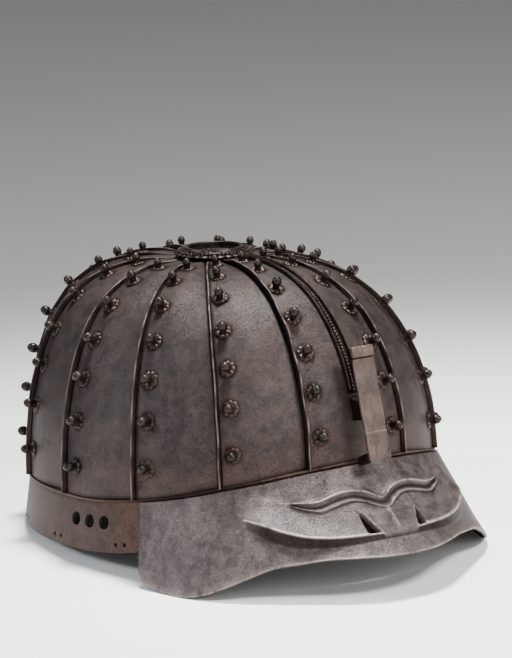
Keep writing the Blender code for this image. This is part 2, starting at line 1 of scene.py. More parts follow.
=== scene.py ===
"""Studio scene of an old riveted iron helmet with a wide embossed peak.

Shapes are worked out in the helmet's own frame: the origin is in the middle of the
bowl at the height of its lower back edge, the front faces -Y, the wearer's left is
+X, and angles round the bowl count from the front. The crest holder's face in the
record says how that frame lies in the row's frame, and every mesh is written there.
"""

import json
import logging
import math
from dataclasses import dataclass, field, replace
from enum import Enum
from typing import Sequence

import bmesh
import bpy
import numpy as np
from mathutils import Matrix, Vector


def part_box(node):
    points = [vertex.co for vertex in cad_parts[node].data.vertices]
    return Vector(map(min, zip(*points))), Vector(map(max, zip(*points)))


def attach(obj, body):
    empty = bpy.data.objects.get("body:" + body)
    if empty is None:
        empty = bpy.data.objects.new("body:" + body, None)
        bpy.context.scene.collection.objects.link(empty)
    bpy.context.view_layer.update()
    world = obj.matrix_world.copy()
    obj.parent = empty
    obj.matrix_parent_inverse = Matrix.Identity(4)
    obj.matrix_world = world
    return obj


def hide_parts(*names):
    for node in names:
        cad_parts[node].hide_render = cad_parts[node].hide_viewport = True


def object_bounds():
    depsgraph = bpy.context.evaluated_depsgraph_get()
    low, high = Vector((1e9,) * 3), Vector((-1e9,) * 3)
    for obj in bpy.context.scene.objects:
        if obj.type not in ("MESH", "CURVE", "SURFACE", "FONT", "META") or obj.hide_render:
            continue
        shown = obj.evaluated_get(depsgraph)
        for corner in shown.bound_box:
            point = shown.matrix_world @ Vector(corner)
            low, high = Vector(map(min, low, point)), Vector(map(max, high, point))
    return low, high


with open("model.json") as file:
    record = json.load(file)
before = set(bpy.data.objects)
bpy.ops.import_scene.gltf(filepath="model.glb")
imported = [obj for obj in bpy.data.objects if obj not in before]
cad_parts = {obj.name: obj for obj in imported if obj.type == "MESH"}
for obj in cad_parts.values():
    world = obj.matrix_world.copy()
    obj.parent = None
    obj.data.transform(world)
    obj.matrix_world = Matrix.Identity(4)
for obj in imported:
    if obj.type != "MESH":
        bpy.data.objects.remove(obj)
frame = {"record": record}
CAD_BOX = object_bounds()

MM = 0.001
BODY = "root"
SHARP_ANGLE = math.radians(38)
FULL_TURN = 2.0 * math.pi
PIT_COLOUR = (0.003, 0.002, 0.0018, 1.0)
# Near-black colour of soot and of painted shade, which the soot-and-shade layer mixes in.
SOOT_AND_SHADE_COLOUR = (0.0016, 0.0012, 0.0010, 1.0)

log = logging.getLogger("helmet")

Array = np.ndarray
Colour = tuple[float, float, float]
Pair = tuple[float, float]
Table = Sequence[Pair]


class Side(Enum):
    """Side of the helmet as its wearer has it, with the sign of X."""

    RIGHT = -1
    LEFT = 1


class Slot(Enum):
    """Material slots of the record."""

    PLATE = "plate_iron"
    BAND = "band_iron"
    PEAK = "peak_iron"
    FITTING = "fitting_iron"
    CREST = "crest_iron"


class Paint(Enum):
    """Names of the vertex attributes that the finishes read."""

    RUST = "rust"
    WEAR = "wear"
    # Soot and painted shade: painted shade in creases, grooves and hollows and behind raised parts, and
    # darker areas of the iron.
    SOOT_AND_SHADE = "soot_and_shade"


def smooth_step(low: float, high: float, value: Array) -> Array:
    """Rise from 0 to 1 between two values, with flat ends.

    Args:
        low: value at which the rise starts.
        high: value at which it ends, which may be the lower of the two.
        value: where the rise is read.

    Returns:
        The risen share at each value.
    """
    share = np.clip((np.asarray(value, float) - low) / (high - low), 0.0, 1.0)
    return share * share * (3.0 - 2.0 * share)


def bell(value: Array, middle: Array, width: float) -> Array:
    """Smooth bump of height 1 about a middle, which fades over a width."""
    return np.exp(-(((value - middle) / width) ** 2))


def through(table: Table, at: Array) -> Array:
    """Smooth curve through the rows of a short table, flat beyond its ends.

    Args:
        table: rows of a place and the value there, in rising order of place.
        at: places where the curve is read.

    Returns:
        The curve's values.
    """
    place = np.array([row[0] for row in table], float)
    value = np.array([row[1] for row in table], float)
    slope = np.gradient(value, place)
    slope[0] = slope[-1] = 0.0
    x = np.clip(np.asarray(at, float), place[0], place[-1])
    i = np.clip(np.searchsorted(place, x, side="right") - 1, 0, len(place) - 2)
    span = place[i + 1] - place[i]
    t = (x - place[i]) / span
    return (
        (2 * t**3 - 3 * t**2 + 1) * value[i]
        + (t**3 - 2 * t**2 + t) * span * slope[i]
        + (3 * t**2 - 2 * t**3) * value[i + 1]
        + (t**3 - t**2) * span * slope[i + 1]
    )


def waves(first: Array, second: Array, seed: int, count: int = 7) -> Array:
    """Slow unevenness of hammered sheet, repeatable and without a seam round the bowl.

    Args:
        first: angle round the bowl.
        second: angle up the bowl, or any other slow measure.
        seed: choice of the pattern.
        count: how many waves are added up.

    Returns:
        Values of about -1 to 1.
    """
    draw = np.random.default_rng(seed)
    total = np.zeros(np.broadcast(first, second).shape)
    for _ in range(count):
        turns = int(draw.integers(3, 19)) * (1 if draw.random() < 0.5 else -1)
        climb = draw.uniform(3.0, 17.0)
        total = total + np.sin(turns * first + climb * second + draw.uniform(0.0, FULL_TURN))
    return total / math.sqrt(count)


@dataclass(frozen=True)
class Placement:
    """How the helmet's own frame lies in the row's frame."""

    turn: Array
    shift: Array

    def outward(self, points: Array) -> Array:
        """Points of the helmet's frame, in the row's frame."""
        return np.asarray(points) @ self.turn.T + self.shift

    def inward(self, points: Array) -> Array:
        """Points of the row's frame, in the helmet's frame."""
        return (np.asarray(points) - self.shift) @ self.turn


@dataclass(frozen=True)
class BowlForm:
    """Rounded dome of the bowl, fuller at the back than at the front."""

    half_width: float = 102.8 * MM
    front_reach: float = 115.0 * MM
    back_reach: float = 117.8 * MM
    height: float = 112.3 * MM
    crown_shift: float = 9.0 * MM
    brow_rise: float = 21.0 * MM
    plan_power: float = 2.06
    front_fullness: float = 2.81
    back_fullness: float = 3.97
    rise_power: float = 2.04
    dent_depth: float = 0.16 * MM

    def edge_height(self, phi: Array) -> Array:
        """Height of the bowl's lower edge, which rises over the brow."""
        return self.brow_rise * np.maximum(np.cos(phi), 0.0) ** 2

    def fullness(self, phi: Array) -> Array:
        """Roundness of the upright section at an angle."""
        back = (1.0 - np.cos(phi)) / 2.0
        return self.front_fullness + (self.back_fullness - self.front_fullness) * back

    def point(self, phi: Array, psi: Array, lift: Array) -> Array:
        """Points on the dome, lifted off its mean surface.

        Args:
            phi: angles round the bowl.
            psi: angles up the dome.
            lift: distances out of the mean surface.

        Returns:
            Points in a last axis of three.
        """
        phi, psi, lift = np.broadcast_arrays(phi, psi, lift)
        cos, sin = np.cos(phi), np.sin(phi)
        lift = lift + self.dent_depth * waves(phi, psi, seed=11) * np.sin(2.0 * psi)
        reach = np.where(cos > 0.0, self.front_reach, self.back_reach)
        inward = np.cos(psi) ** (2.0 / self.fullness(phi))
        rise = np.sin(psi) ** (2.0 / self.rise_power)
        power = 2.0 / self.plan_power
        x = (self.half_width + lift) * np.sign(sin) * np.abs(sin) ** power * inward
        y = -(reach + lift) * np.sign(cos) * np.abs(cos) ** power * inward
        z = (self.height + lift) * rise + self.edge_height(phi) * np.cos(psi)
        return np.stack([x, y + self.crown_shift * np.sin(psi) ** 2, z], -1)

    def normal(self, phi: Array, psi: Array, lift: Array) -> Array:
        """Outward unit normals of the dome.

        Args:
            phi: angles round the bowl.
            psi: angles up the dome.
            lift: distances out of the mean surface.

        Returns:
            One unit vector for each point.
        """
        step = 1.0e-3
        along = self.point(phi + step, psi, lift) - self.point(phi - step, psi, lift)
        up = self.point(phi, psi + step, lift) - self.point(phi, psi - step, lift)
        normal = np.cross(along, up)
        return normal / np.linalg.norm(normal, axis=-1, keepdims=True)

    def wall_point(self, phi: Array, lift: Array, height: Array) -> Array:
        """Points on the upright wall.

        Args:
            phi: angles round the bowl.
            lift: distances out of the mean surface.
            height: heights above the lower edge, or below it if negative.

        Returns:
            Points in a last axis of three.
        """
        phi, lift, height = np.broadcast_arrays(phi, lift, height)
        share = np.maximum(height, 0.0) / self.height
        psi = np.arcsin(share ** (self.rise_power / 2.0))
        points = self.point(phi, psi, lift)
        points[..., 2] = self.edge_height(phi) + height
        return points

    def plan_radius(self, phi: Array, psi: Array) -> Array:
        """Distance of the mean surface from the upright line through the crown."""
        points = self.point(phi, psi, 0.0)
        return np.hypot(points[..., 0], points[..., 1] - self.crown_shift * np.sin(psi) ** 2)

    def radius_turn(self, phi: Array, radius: Array) -> Array:
        """Angle up the dome at which it has closed in to a radius."""
        share = radius / self.plan_radius(phi, 0.0)
        return np.arccos(share ** (self.fullness(phi) / 2.0))


def grid_mesh(name: str, loops: Array, ring: bool) -> bpy.types.Mesh:
    """Closed mesh of a closed loop swept through a row of places.

    Args:
        name: the mesh's name.
        loops: points, by place and then by position in the loop.
        ring: whether the last place joins the first one.

    Returns:
        The mesh, with its faces pointing out.
    """
    count, size = loops.shape[:2]
    index = np.arange(count * size).reshape(count, size)
    if ring:
        index = np.vstack([index, index[:1]])
    near, far = index[:-1], index[1:]
    quads = np.stack([near, np.roll(near, -1, 1), np.roll(far, -1, 1), far], -1).reshape(-1, 4)
    faces = quads.tolist()
    if not ring:
        faces += [index[0].tolist(), index[-1].tolist()]
    mesh = bpy.data.meshes.new(name)
    mesh.from_pydata(loops.reshape(-1, 3).tolist(), [], faces)
    face_outward(mesh)
    return mesh


def face_outward(mesh: bpy.types.Mesh) -> None:
    """Turn every face of a closed mesh outwards.

    Args:
        mesh: the mesh to change.
    """
    builder = bmesh.new()
    builder.from_mesh(mesh)
    bmesh.ops.recalc_face_normals(builder, faces=builder.faces)
    builder.to_mesh(mesh)
    builder.free()


def add_piece(name: str, mesh: bpy.types.Mesh) -> bpy.types.Object:
    """Object of a mesh in the scene, shaded smooth up to its sharp edges.

    Args:
        name: the piece's name.
        mesh: its mesh, already in the row's frame.

    Returns:
        The new object.
    """
    mesh.shade_smooth()
    mesh.set_sharp_from_angle(angle=SHARP_ANGLE)
    piece = bpy.data.objects.new(name, mesh)
    bpy.context.scene.collection.objects.link(piece)
    return piece


def paint(mesh: bpy.types.Mesh, layer: Paint, values: Array) -> None:
    """Store one value for each vertex, for a finish to read.

    Args:
        mesh: the mesh to paint.
        layer: which attribute is written.
        values: one value for each vertex, in any shape.
    """
    attribute = mesh.attributes.get(layer.value)
    if attribute is None:
        attribute = mesh.attributes.new(layer.value, "FLOAT", "POINT")
    attribute.data.foreach_set("value", np.ascontiguousarray(values, np.float32).ravel())


def vertex_points(mesh: bpy.types.Mesh) -> Array:
    """Positions of a mesh's vertices.

    Args:
        mesh: the mesh to read.

    Returns:
        One row of three for each vertex.
    """
    flat = np.empty(len(mesh.vertices) * 3, np.float32)
    mesh.vertices.foreach_get("co", flat)
    return flat.reshape(-1, 3).astype(float)


def baked(piece: bpy.types.Object) -> bpy.types.Mesh:
    """Plain mesh of an object as its modifiers leave it.

    Args:
        piece: the object, which loses its modifiers and takes the new mesh.

    Returns:
        The new mesh.
    """
    bpy.context.view_layer.update()
    evaluated = piece.evaluated_get(bpy.context.evaluated_depsgraph_get())
    mesh = bpy.data.meshes.new_from_object(evaluated)
    piece.modifiers.clear()
    piece.data = mesh
    return mesh


def hand_over(piece: bpy.types.Object, slot: Slot, *nodes: str) -> None:
    """Put a finished piece on the body, in place of the nodes it stands for.

    Args:
        piece: the finished object.
        slot: the record's slot that its finish is; not used.
        nodes: names of the nodes that it replaces.
    """
    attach(piece, BODY)
    if nodes:
        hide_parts(*nodes)
    log.info("%s: %d faces", piece.name, len(piece.data.polygons))


class Shader:
    """Short way to build a node tree, from its outputs back."""

    def __init__(self, tree: bpy.types.NodeTree) -> None:
        """Keep the tree and empty it."""
        self.tree = tree
        tree.nodes.clear()

    def add(self, kind: str, inputs: dict | None = None, **settings: object) -> bpy.types.Node:
        """Add one node.

        Args:
            kind: the node's type.
            inputs: value or source socket for each input, by name or number.
            settings: the node's own properties.

        Returns:
            The new node.
        """
        node = self.tree.nodes.new(kind)
        for name, value in settings.items():
            setattr(node, name, value)
        for key, value in (inputs or {}).items():
            if isinstance(value, bpy.types.NodeSocket):
                self.tree.links.new(value, node.inputs[key])
            else:
                node.inputs[key].default_value = value
        return node

    def math(self, operation: str, first: object, second: object = 0.0) -> bpy.types.NodeSocket:
        """Result of one calculation on two values or sockets, kept within 0 and 1."""
        node = self.add("ShaderNodeMath", {0: first, 1: second}, operation=operation, use_clamp=True)
        return node.outputs[0]

    def weighted(self, *parts: tuple[object, float]) -> bpy.types.NodeSocket:
        """Sum of several values, each times its share, kept within 0 and 1.

        Args:
            parts: pairs of a value or socket and its share.

        Returns:
            The sum's socket.
        """
        total = self.math("MULTIPLY", *parts[0])
        for part in parts[1:]:
            total = self.math("ADD", total, self.math("MULTIPLY", *part))
        return total

    def ramp(self, value: object, low: float, high: float) -> bpy.types.NodeSocket:
        """Smooth rise from 0 to 1 between two values of a socket.

        Args:
            value: the socket that is read.
            low: value at which the rise starts.
            high: value at which it ends.

        Returns:
            The risen share's socket.
        """
        inputs = {"Value": value, "From Min": low, "From Max": high}
        node = self.add("ShaderNodeMapRange", inputs, interpolation_type="SMOOTHSTEP", clamp=True)
        return node.outputs["Result"]

    def mix(self, factor: object, first: object, second: object) -> bpy.types.NodeSocket:
        """Colour between two colours or sockets.

        Args:
            factor: share of the second colour.
            first: colour at a share of 0.
            second: colour at a share of 1.

        Returns:
            The mixed colour's socket.
        """
        inputs = {0: factor, 6: first, 7: second}
        node = self.add("ShaderNodeMix", inputs, data_type="RGBA", clamp_factor=True)
        return node.outputs[2]

    def noise(self, place: object, scale: float, detail: float, rough: float = 0.55) -> bpy.types.NodeSocket:
        """Value of a noise texture at a place."""
        inputs = {"Vector": place, "Scale": scale, "Detail": detail, "Roughness": rough}
        return self.add("ShaderNodeTexNoise", inputs).outputs["Fac"]

    def layer(self, name: Paint) -> bpy.types.NodeSocket:
        """Value painted on the vertices."""
        return self.add("ShaderNodeAttribute", attribute_name=name.value).outputs["Fac"]


@dataclass(frozen=True)
class IronFinish:
    """Old iron: brown-black and mottled, with rust in its corners, worn edges, and a painted layer of soot
    and painted shade that darkens it.
    """

    slot: Slot
    dark: Colour
    light: Colour
    rust: Colour
    worn: Colour
    metallic: float = 0.42
    specular: float = 0.42
    smooth_roughness: float = 0.36
    dull_roughness: float = 0.62
    mottling_scale: float = 34.0
    streak_scale: float = 260.0
    scratch_scale: float = 900.0
    grain_scale: float = 560.0
    fine_scale: float = 1500.0
    patch_scale: float = 15.0
    rust_share: float = 0.55
    speck_share: float = 0.14
    mark_share: float = 0.22
    pit_share: float = 0.7
    soot_and_shade_share: float = 0.9
    soot_and_shade_specular: float = 0.03
    bump_depth: float = 0.55 * MM

    def material(self) -> bpy.types.Material:
        """Build the finish.

        Returns:
            The new material, named after its slot.
        """
        material = bpy.data.materials.new(self.slot.value)
        material.use_nodes = True
        s = Shader(material.node_tree)
        place = s.add("ShaderNodeTexCoord").outputs["Object"]
        upright = s.add("ShaderNodeMapping", {"Vector": place, "Scale": (1.0, 1.0, 0.2)}).outputs[0]
        level = {"Vector": place, "Rotation": (0.5, 0.0, 0.3), "Scale": (0.12, 0.12, 1.0)}
        cloudy = s.noise(place, self.mottling_scale, 6.0, 0.66)
        blotches = s.noise(place, 4.0 * self.mottling_scale, 6.0, 0.70)
        streaks = s.noise(upright, self.streak_scale, 4.0, 0.6)
        scratches = s.noise(s.add("ShaderNodeMapping", level).outputs[0], self.scratch_scale, 3.0, 0.6)
        grain = s.noise(place, self.grain_scale, 5.0, 0.72)
        fine = s.noise(place, self.fine_scale, 3.0, 0.6)
        patches = s.noise(place, self.patch_scale, 5.0, 0.66)

        tone = s.weighted(
            (s.ramp(cloudy, 0.37, 0.63), 0.34),
            (s.ramp(blotches, 0.40, 0.60), 0.26),
            (s.ramp(streaks, 0.36, 0.66), 0.16),
            (s.ramp(grain, 0.40, 0.62), 0.24),
        )
        base = s.mix(tone, (*self.dark, 1.0), (*self.light, 1.0))

        wander = s.weighted((blotches, 0.5), (grain, 0.5))
        rusty = s.math("ADD", s.layer(Paint.RUST), s.math("MULTIPLY", s.ramp(patches, 0.50, 0.74), 0.5))
        rusty = s.math("MULTIPLY", rusty, s.ramp(wander, 0.38, 0.58))
        base = s.mix(s.math("MULTIPLY", rusty, self.rust_share), base, (*self.rust, 1.0))

        specks = s.math("MULTIPLY", s.ramp(fine, 0.54, 0.62), s.ramp(blotches, 0.38, 0.60))
        marks = s.math("MULTIPLY", s.ramp(scratches, 0.62, 0.68), s.ramp(cloudy, 0.48, 0.66))
        pale = s.weighted((specks, self.speck_share), (marks, self.mark_share))
        base = s.mix(pale, base, (*self.worn, 1.0))

        pits = s.ramp(fine, 0.45, 0.34)
        base = s.mix(s.math("MULTIPLY", pits, self.pit_share), base, PIT_COLOUR)
        # Soot and painted shade: the layer darkens the colour towards near black and lowers the specular
        # there.
        soot_and_shade = s.layer(Paint.SOOT_AND_SHADE)
        base = s.mix(s.math("MULTIPLY", soot_and_shade, self.soot_and_shade_share), base, SOOT_AND_SHADE_COLOUR)

        rubbed = s.math("MULTIPLY", s.layer(Paint.WEAR), s.ramp(streaks, 0.30, 0.54))
        base = s.mix(rubbed, base, (*self.worn, 1.0))

        dull = s.weighted((blotches, 0.55), (rusty, 0.4), (s.ramp(fine, 0.35, 0.65), 0.25), (soot_and_shade, 0.5))
        dull = s.math("SUBTRACT", dull, s.math("MULTIPLY", rubbed, 0.3))
        inputs = {"Value": dull, "To Min": self.smooth_roughness, "To Max": self.dull_roughness}
        roughness = s.add("ShaderNodeMapRange", inputs, clamp=True).outputs["Result"]

        inputs = {"Value": soot_and_shade, "To Min": self.specular, "To Max": self.soot_and_shade_specular}
        specular = s.add("ShaderNodeMapRange", inputs, clamp=True).outputs["Result"]

        relief = s.weighted((grain, 0.45), (fine, 0.20), (blotches, 0.35))
        relief = s.math("SUBTRACT", relief, s.math("MULTIPLY", pits, 0.3))
        bump = s.add("ShaderNodeBump", {"Strength": 0.9, "Distance": self.bump_depth, "Height": relief})

        shader = s.add(
            "ShaderNodeBsdfPrincipled",
            {
                "Base Color": base,
                "Metallic": self.metallic,
                "Specular IOR Level": specular,
                "Roughness": roughness,
                "Normal": bump.outputs[0],
            },
        )
        s.add("ShaderNodeOutputMaterial", {"Surface": shader.outputs[0]})
        return material


@dataclass
class Finishes:
    """The five kinds of iron on the helmet."""

    plate: IronFinish = IronFinish(
        slot=Slot.PLATE,
        dark=(0.0070, 0.0038, 0.0033),
        light=(0.041, 0.0270, 0.0245),
        rust=(0.040, 0.0135, 0.0080),
        worn=(0.17, 0.125, 0.105),
    )
    band: IronFinish = IronFinish(
        slot=Slot.BAND,
        dark=(0.0140, 0.0080, 0.0068),
        light=(0.050, 0.0315, 0.0275),
        rust=(0.070, 0.024, 0.0105),
        worn=(0.20, 0.14, 0.10),
        metallic=0.6,
        smooth_roughness=0.45,
    )
    peak: IronFinish = IronFinish(
        slot=Slot.PEAK,
        dark=(0.0135, 0.0092, 0.0092),
        light=(0.076, 0.060, 0.058),
        rust=(0.040, 0.0165, 0.013),
        worn=(0.36, 0.30, 0.27),
        rust_share=0.45,
        smooth_roughness=0.34,
    )
    fitting: IronFinish = IronFinish(
        slot=Slot.FITTING,
        dark=(0.0032, 0.0022, 0.0020),
        light=(0.018, 0.0120, 0.0105),
        rust=(0.045, 0.0165, 0.0085),
        worn=(0.17, 0.125, 0.10),
        metallic=0.7,
        smooth_roughness=0.20,
        dull_roughness=0.5,
        bump_depth=0.25 * MM,
    )
    crest: IronFinish = IronFinish(
        slot=Slot.CREST,
        dark=(0.013, 0.0080, 0.0068),
        light=(0.066, 0.044, 0.037),
        rust=(0.062, 0.025, 0.015),
        worn=(0.20, 0.145, 0.12),
        metallic=0.4,
        smooth_roughness=0.48,
        rust_share=0.40,
    )
    made: dict[Slot, bpy.types.Material] = field(default_factory=dict)

    def of(self, finish: IronFinish) -> bpy.types.Material:
        """Material of a finish, built the first time it is asked for.

        Args:
            finish: the finish.

        Returns:
            Its material, the same one each time.
        """
        if finish.slot not in self.made:
            self.made[finish.slot] = finish.material()
        return self.made[finish.slot]


@dataclass(frozen=True)
class Section:
    """Outer side of a plate: angles, inner lifts and rises by row, and its paint."""

    angles: Array
    lifts: Array
    rises: Array
    wear: Array
    soot_and_shade: Array
    rust: Array

    @staticmethod
    def joined(parts: Sequence["Section"]) -> "Section":
        """One section of several that lie side by side."""
        names = ("angles", "lifts", "rises", "wear", "soot_and_shade", "rust")
        return Section(*(np.hstack([getattr(part, name) for part in parts]) for name in names))

    def mirrored(self) -> "Section":
        """The section on the other side of the helmet's middle."""
        turned = (value[:, ::-1] for value in (self.lifts, self.rises, self.wear, self.soot_and_shade, self.rust))
        return Section(-self.angles[:, ::-1], *turned)


@dataclass
class Bowl:
    """Fourteen overlapping plates, each with a turned-up rear edge, and their rivets."""

    form: BowlForm
    place: Placement
    finishes: Finishes
    per_side: int = 6
    first_seam: float = math.radians(12.6)
    last_seam: float = math.radians(163.8)
    thickness: float = 1.5 * MM
    gap: float = 0.3 * MM
    eye_radius: float = 19.0 * MM
    rib_end_radius: float = 23.5 * MM
    rib_set_back: float = 8.3 * MM
    rib_crown_set_back: float = 4.4 * MM
    tuck: float = 6.6 * MM
    crown_tuck: float = 2.2 * MM
    rib_thickness: float = 1.1 * MM
    rib_height: float = 2.9 * MM
    rib_crown_share: float = 0.55
    rib_fillet: float = 0.55 * MM
    rib_wander: float = 0.2 * MM
    painted_shade_width: float = 2.0 * MM
    rows: int = 84
    rivet_rows: Table = (
        (0.083, 1.0), (0.222, 1.0), (0.354, 1.0), (0.493, 1.0), (0.640, 0.95), (0.778, 0.85), (0.882, 0.78),
    )
    rivet_jitter: float = 0.45 * MM
    rivet_lean: float = math.radians(3.0)
    seat_rust_reach: float = 8.5 * MM
    seat_shade_reach: float = 6.2 * MM
    edge_rust_height: float = 34.0 * MM
    crown_shade: float = 0.36
    crown_shade_low: float = 26.0 * MM
    crown_shade_high: float = 66.0 * MM
    inner_darkening: float = 0.65

    @property
    def low_lift(self) -> float:
        """Lift of the inner side of a plate where its neighbour covers it."""
        return -self.thickness - self.gap / 2.0

    @property
    def high_lift(self) -> float:
        """Lift of the inner side of a plate where it covers its neighbour."""
        return self.gap / 2.0

    @property
    def top_lift(self) -> float:
        """Lift of the outer side of a plate where it covers its neighbour."""
        return self.high_lift + self.thickness

    def seam_angle(self, seam: int) -> float:
        """Angle of a seam's rivet column from the front."""
        return self.first_seam + (self.last_seam - self.first_seam) / self.per_side * (seam - 1)

    def shares(self) -> Array:
        """Row shares from the lower edge to the eye, where 1 is the ribs' end."""
        return np.concatenate([np.linspace(0.0, 1.0, self.rows), [1.5, 2.0]])

    def row_turn(self, phi: Array, share: Array) -> Array:
        """Angle up the dome of a row share.

        Args:
            phi: angles round the bowl.
            share: row shares, where 1 is the ribs' end and 2 the eye.

        Returns:
            Angles up the dome.
        """
        beyond = np.clip(share - 1.0, 0.0, 1.0)
        radius = self.rib_end_radius + (self.eye_radius - self.rib_end_radius) * beyond
        return np.minimum(share, 1.0) * self.form.radius_turn(phi, radius)

    def lane(self, seam: int, low: float, crown: float) -> Array:
        """Angle at each row of a line behind a rivet column.

        Args:
            seam: number of the seam.
            low: distance behind the column at the lower edge.
            crown: distance behind it at the eye.

        Returns:
            One angle for each row.
        """
        angle = self.seam_angle(seam)
        radius = self.form.plan_radius(angle, self.row_turn(angle, self.shares()))
        wide = self.form.plan_radius(angle, 0.0)
        spread = (radius - self.eye_radius) / (wide - self.eye_radius)
        return angle + (crown + (low - crown) * spread) / radius

    def tuck_lane(self, seam: int) -> Array:
        """Hidden front edge of the plate under a seam, at each row."""
        return self.lane(seam, -self.tuck, -self.crown_tuck)

    def rear_lane(self, seam: int) -> Array:
        """Rear face of a seam's rib, at each row."""
        return self.lane(seam, self.rib_set_back, self.rib_crown_set_back)

    def rib_outline(self) -> Array:
        """Section of a rib.

        Returns:
            Distance in front of the rear face and rise of each point.
        """
        fillet, wall, tip = self.rib_fillet, self.rib_thickness, self.rib_thickness / 2.0
        turn = np.linspace(0.0, math.pi / 2.0, 6)
        foot = np.stack([wall + fillet - fillet * np.sin(turn), fillet - fillet * np.cos(turn)], -1)
        turn = np.linspace(0.0, math.pi, 7)
        top = np.stack([tip + tip * np.cos(turn), self.rib_height - tip + tip * np.sin(turn)], -1)
        return np.vstack([foot, top, [[0.0, 0.0]]])

    def distance(self, seam: int, angles: Array) -> Array:
        """Distance of each column behind a seam's rib.

        Args:
            seam: number of the seam.
            angles: angles by row and column.

        Returns:
            Distances by row and column, negative in front of the rib's rear face.
        """
        angle = self.seam_angle(seam)
        radius = self.form.plan_radius(angle, self.row_turn(angle, self.shares()))
        return (angles - self.rear_lane(seam)[:, None]) * radius[:, None]

    def run(self, seam: int, places: Sequence[Array], counts: Sequence[int], lift: float) -> Section:
        """Plain columns from line to line, with painted shade beside a rib.

        Args:
            seam: the seam whose rib lies nearest.
            places: angles of the lines, by row.
            counts: how many columns each step from line to line takes.
            lift: lift of the inner side.

        Returns:
            The columns, without the last line.
        """
        steps = []
        for first, last, count in zip(places, places[1:], counts):
            walk = np.linspace(0.0, 1.0, count, endpoint=False)
            steps.append(first[:, None] + (last - first)[:, None] * walk)
        angles = np.hstack(steps)
        blank = np.zeros_like(angles)
        off = self.distance(seam, angles)
        # Painted shadow on the lower plate just behind the rib's rear face, and painted shade along the
        # crease before the rib's front foot.
        behind = smooth_step(self.painted_shade_width, 0.2 * MM, off) * (off >= -0.01 * MM)
        foot = -self.rib_thickness - self.rib_fillet
        before = smooth_step(foot - self.painted_shade_width, foot, off) * (off < foot + 0.01 * MM)
        rust = 0.25 * smooth_step(-6.0 * MM, foot, off) * (off < foot + 0.01 * MM)
        return Section(angles, blank + lift, blank, blank, 0.95 * behind + 0.35 * before ** 2, rust)

    def rib(self, seam: int) -> Section:
        """Turned-up rear edge of an upper plate, from its front foot to its rear foot.

        Args:
            seam: number of the seam.

        Returns:
            The rib's columns.
        """
        share = self.shares()
        angle = self.seam_angle(seam)
        radius = self.form.plan_radius(angle, self.row_turn(angle, share))
        draw = np.random.default_rng(100 + seam)
        wander, chafed = (
            sum(np.sin(share * draw.uniform(*pace) + draw.uniform(0, 6.28)) for _ in range(4)) / 2.0
            for pace in ((9, 42), (25, 90))
        )
        outline = self.rib_outline()
        height = (0.04 + 0.96 * smooth_step(1.0, 0.95, share)) * (1.0 + 0.06 * wander)
        height = height * (1.0 - (1.0 - self.rib_crown_share) * smooth_step(0.45, 0.95, share))
        shift = self.rib_wander * wander * smooth_step(1.0, 0.9, share) * smooth_step(0.0, 0.05, share)
        off = outline[:, 0] + shift[:, None] * smooth_step(0.3 * MM, self.rib_height, outline[:, 1])
        angles = self.rear_lane(seam)[:, None] - off / radius[:, None]
        rises = outline[:, 1] * height[:, None]
        top = smooth_step(self.rib_height * 0.88, self.rib_height, outline[:, 1])
        wear = top * np.clip(0.36 + 0.34 * chafed, 0.0, 1.0)[:, None]
        depth, rise = outline[:, 0] / self.rib_thickness, outline[:, 1] / self.rib_height
        # Painted shade: the rib's rear face is painted dark, the crease at its front foot darker, and its
        # front face a little darker all over.
        rear = (depth < 0.3) * smooth_step(0.95, 0.6, rise)
        front = (depth > 0.6) * 1.0
        crease = 0.85 * smooth_step(0.7 * MM, 0.1 * MM, outline[:, 1]) * front
        blank = np.zeros_like(angles)
        soot_and_shade = np.clip(blank + rear + crease + 0.3 * front, 0.0, 1.0)
        return Section(angles, blank + self.high_lift, rises, wear, soot_and_shade, blank + 0.3 * front)

    def near(self, seam: int, off: float) -> Array:
        """Line at a distance behind a seam's rib.

        Args:
            seam: number of the seam.
            off: the distance, negative in front of the rib.

        Returns:
            One angle for each row.
        """
        angle = self.seam_angle(seam)
        radius = self.form.plan_radius(angle, self.row_turn(angle, self.shares()))
        return self.rear_lane(seam) + off / radius

    def rear_half(self, seam: int) -> Section:
        """Columns from the line where a plate covers the next one, to its rear.

        Args:
            seam: number of the seam at the plate's rear.

        Returns:
            The columns.
        """
        rib = self.rib(seam)
        level = self.run(seam, [self.tuck_lane(seam), rib.angles[:, 0]], (16,), self.high_lift)
        return Section.joined([level, rib])

    def side_section(self, number: int) -> Section:
        """Outer side of a left plate.

        Args:
            number: the plate's number, counted from the front.

        Returns:
            The plate's columns.
        """
        front, covered = self.tuck_lane(number), self.rear_lane(number)
        rear = self.rear_half(number + 1)
        hidden = self.run(number, [front, covered], (4,), self.low_lift)
        covering = rear.angles[:, 0]
        fine_end = np.minimum(self.near(number, 1.4 * self.painted_shade_width), (covered + covering) / 2.0)
        level = self.run(number, [covered, fine_end, covering], (7, 15), self.low_lift)
        climb = smooth_step(0.0, 1.0, (level.angles - covered[:, None]) / (covering - covered)[:, None])
        level = replace(level, lifts=self.low_lift + (self.high_lift - self.low_lift) * climb)
        return Section.joined([hidden, level, rear])

    def front_section(self) -> Section:
        """Outer side of the front plate, which lies on top of both neighbours.

        Returns:
            The plate's columns.
        """
        half = self.rear_half(1)
        edge = half.angles[:, :1]
        angles = edge * np.linspace(-1.0, 1.0, 13)[1:-1]
        blank = np.zeros_like(angles)
        centre = Section(angles, blank + self.high_lift, blank, blank, blank, blank)
        return Section.joined([half.mirrored(), centre, half])

    def back_section(self) -> Section:
        """Outer side of the back plate, which is tucked under both neighbours.

        Returns:
            The plate's columns.
        """
        last = self.per_side + 1
        fine_end = self.near(last, 1.4 * self.painted_shade_width)
        lines = [self.tuck_lane(last), self.rear_lane(last), fine_end, np.full_like(fine_end, math.pi)]
        half = self.run(last, lines, (4, 7, 12), self.low_lift)
        other = half.mirrored()
        return Section.joined([half, replace(other, angles=other.angles + FULL_TURN)])

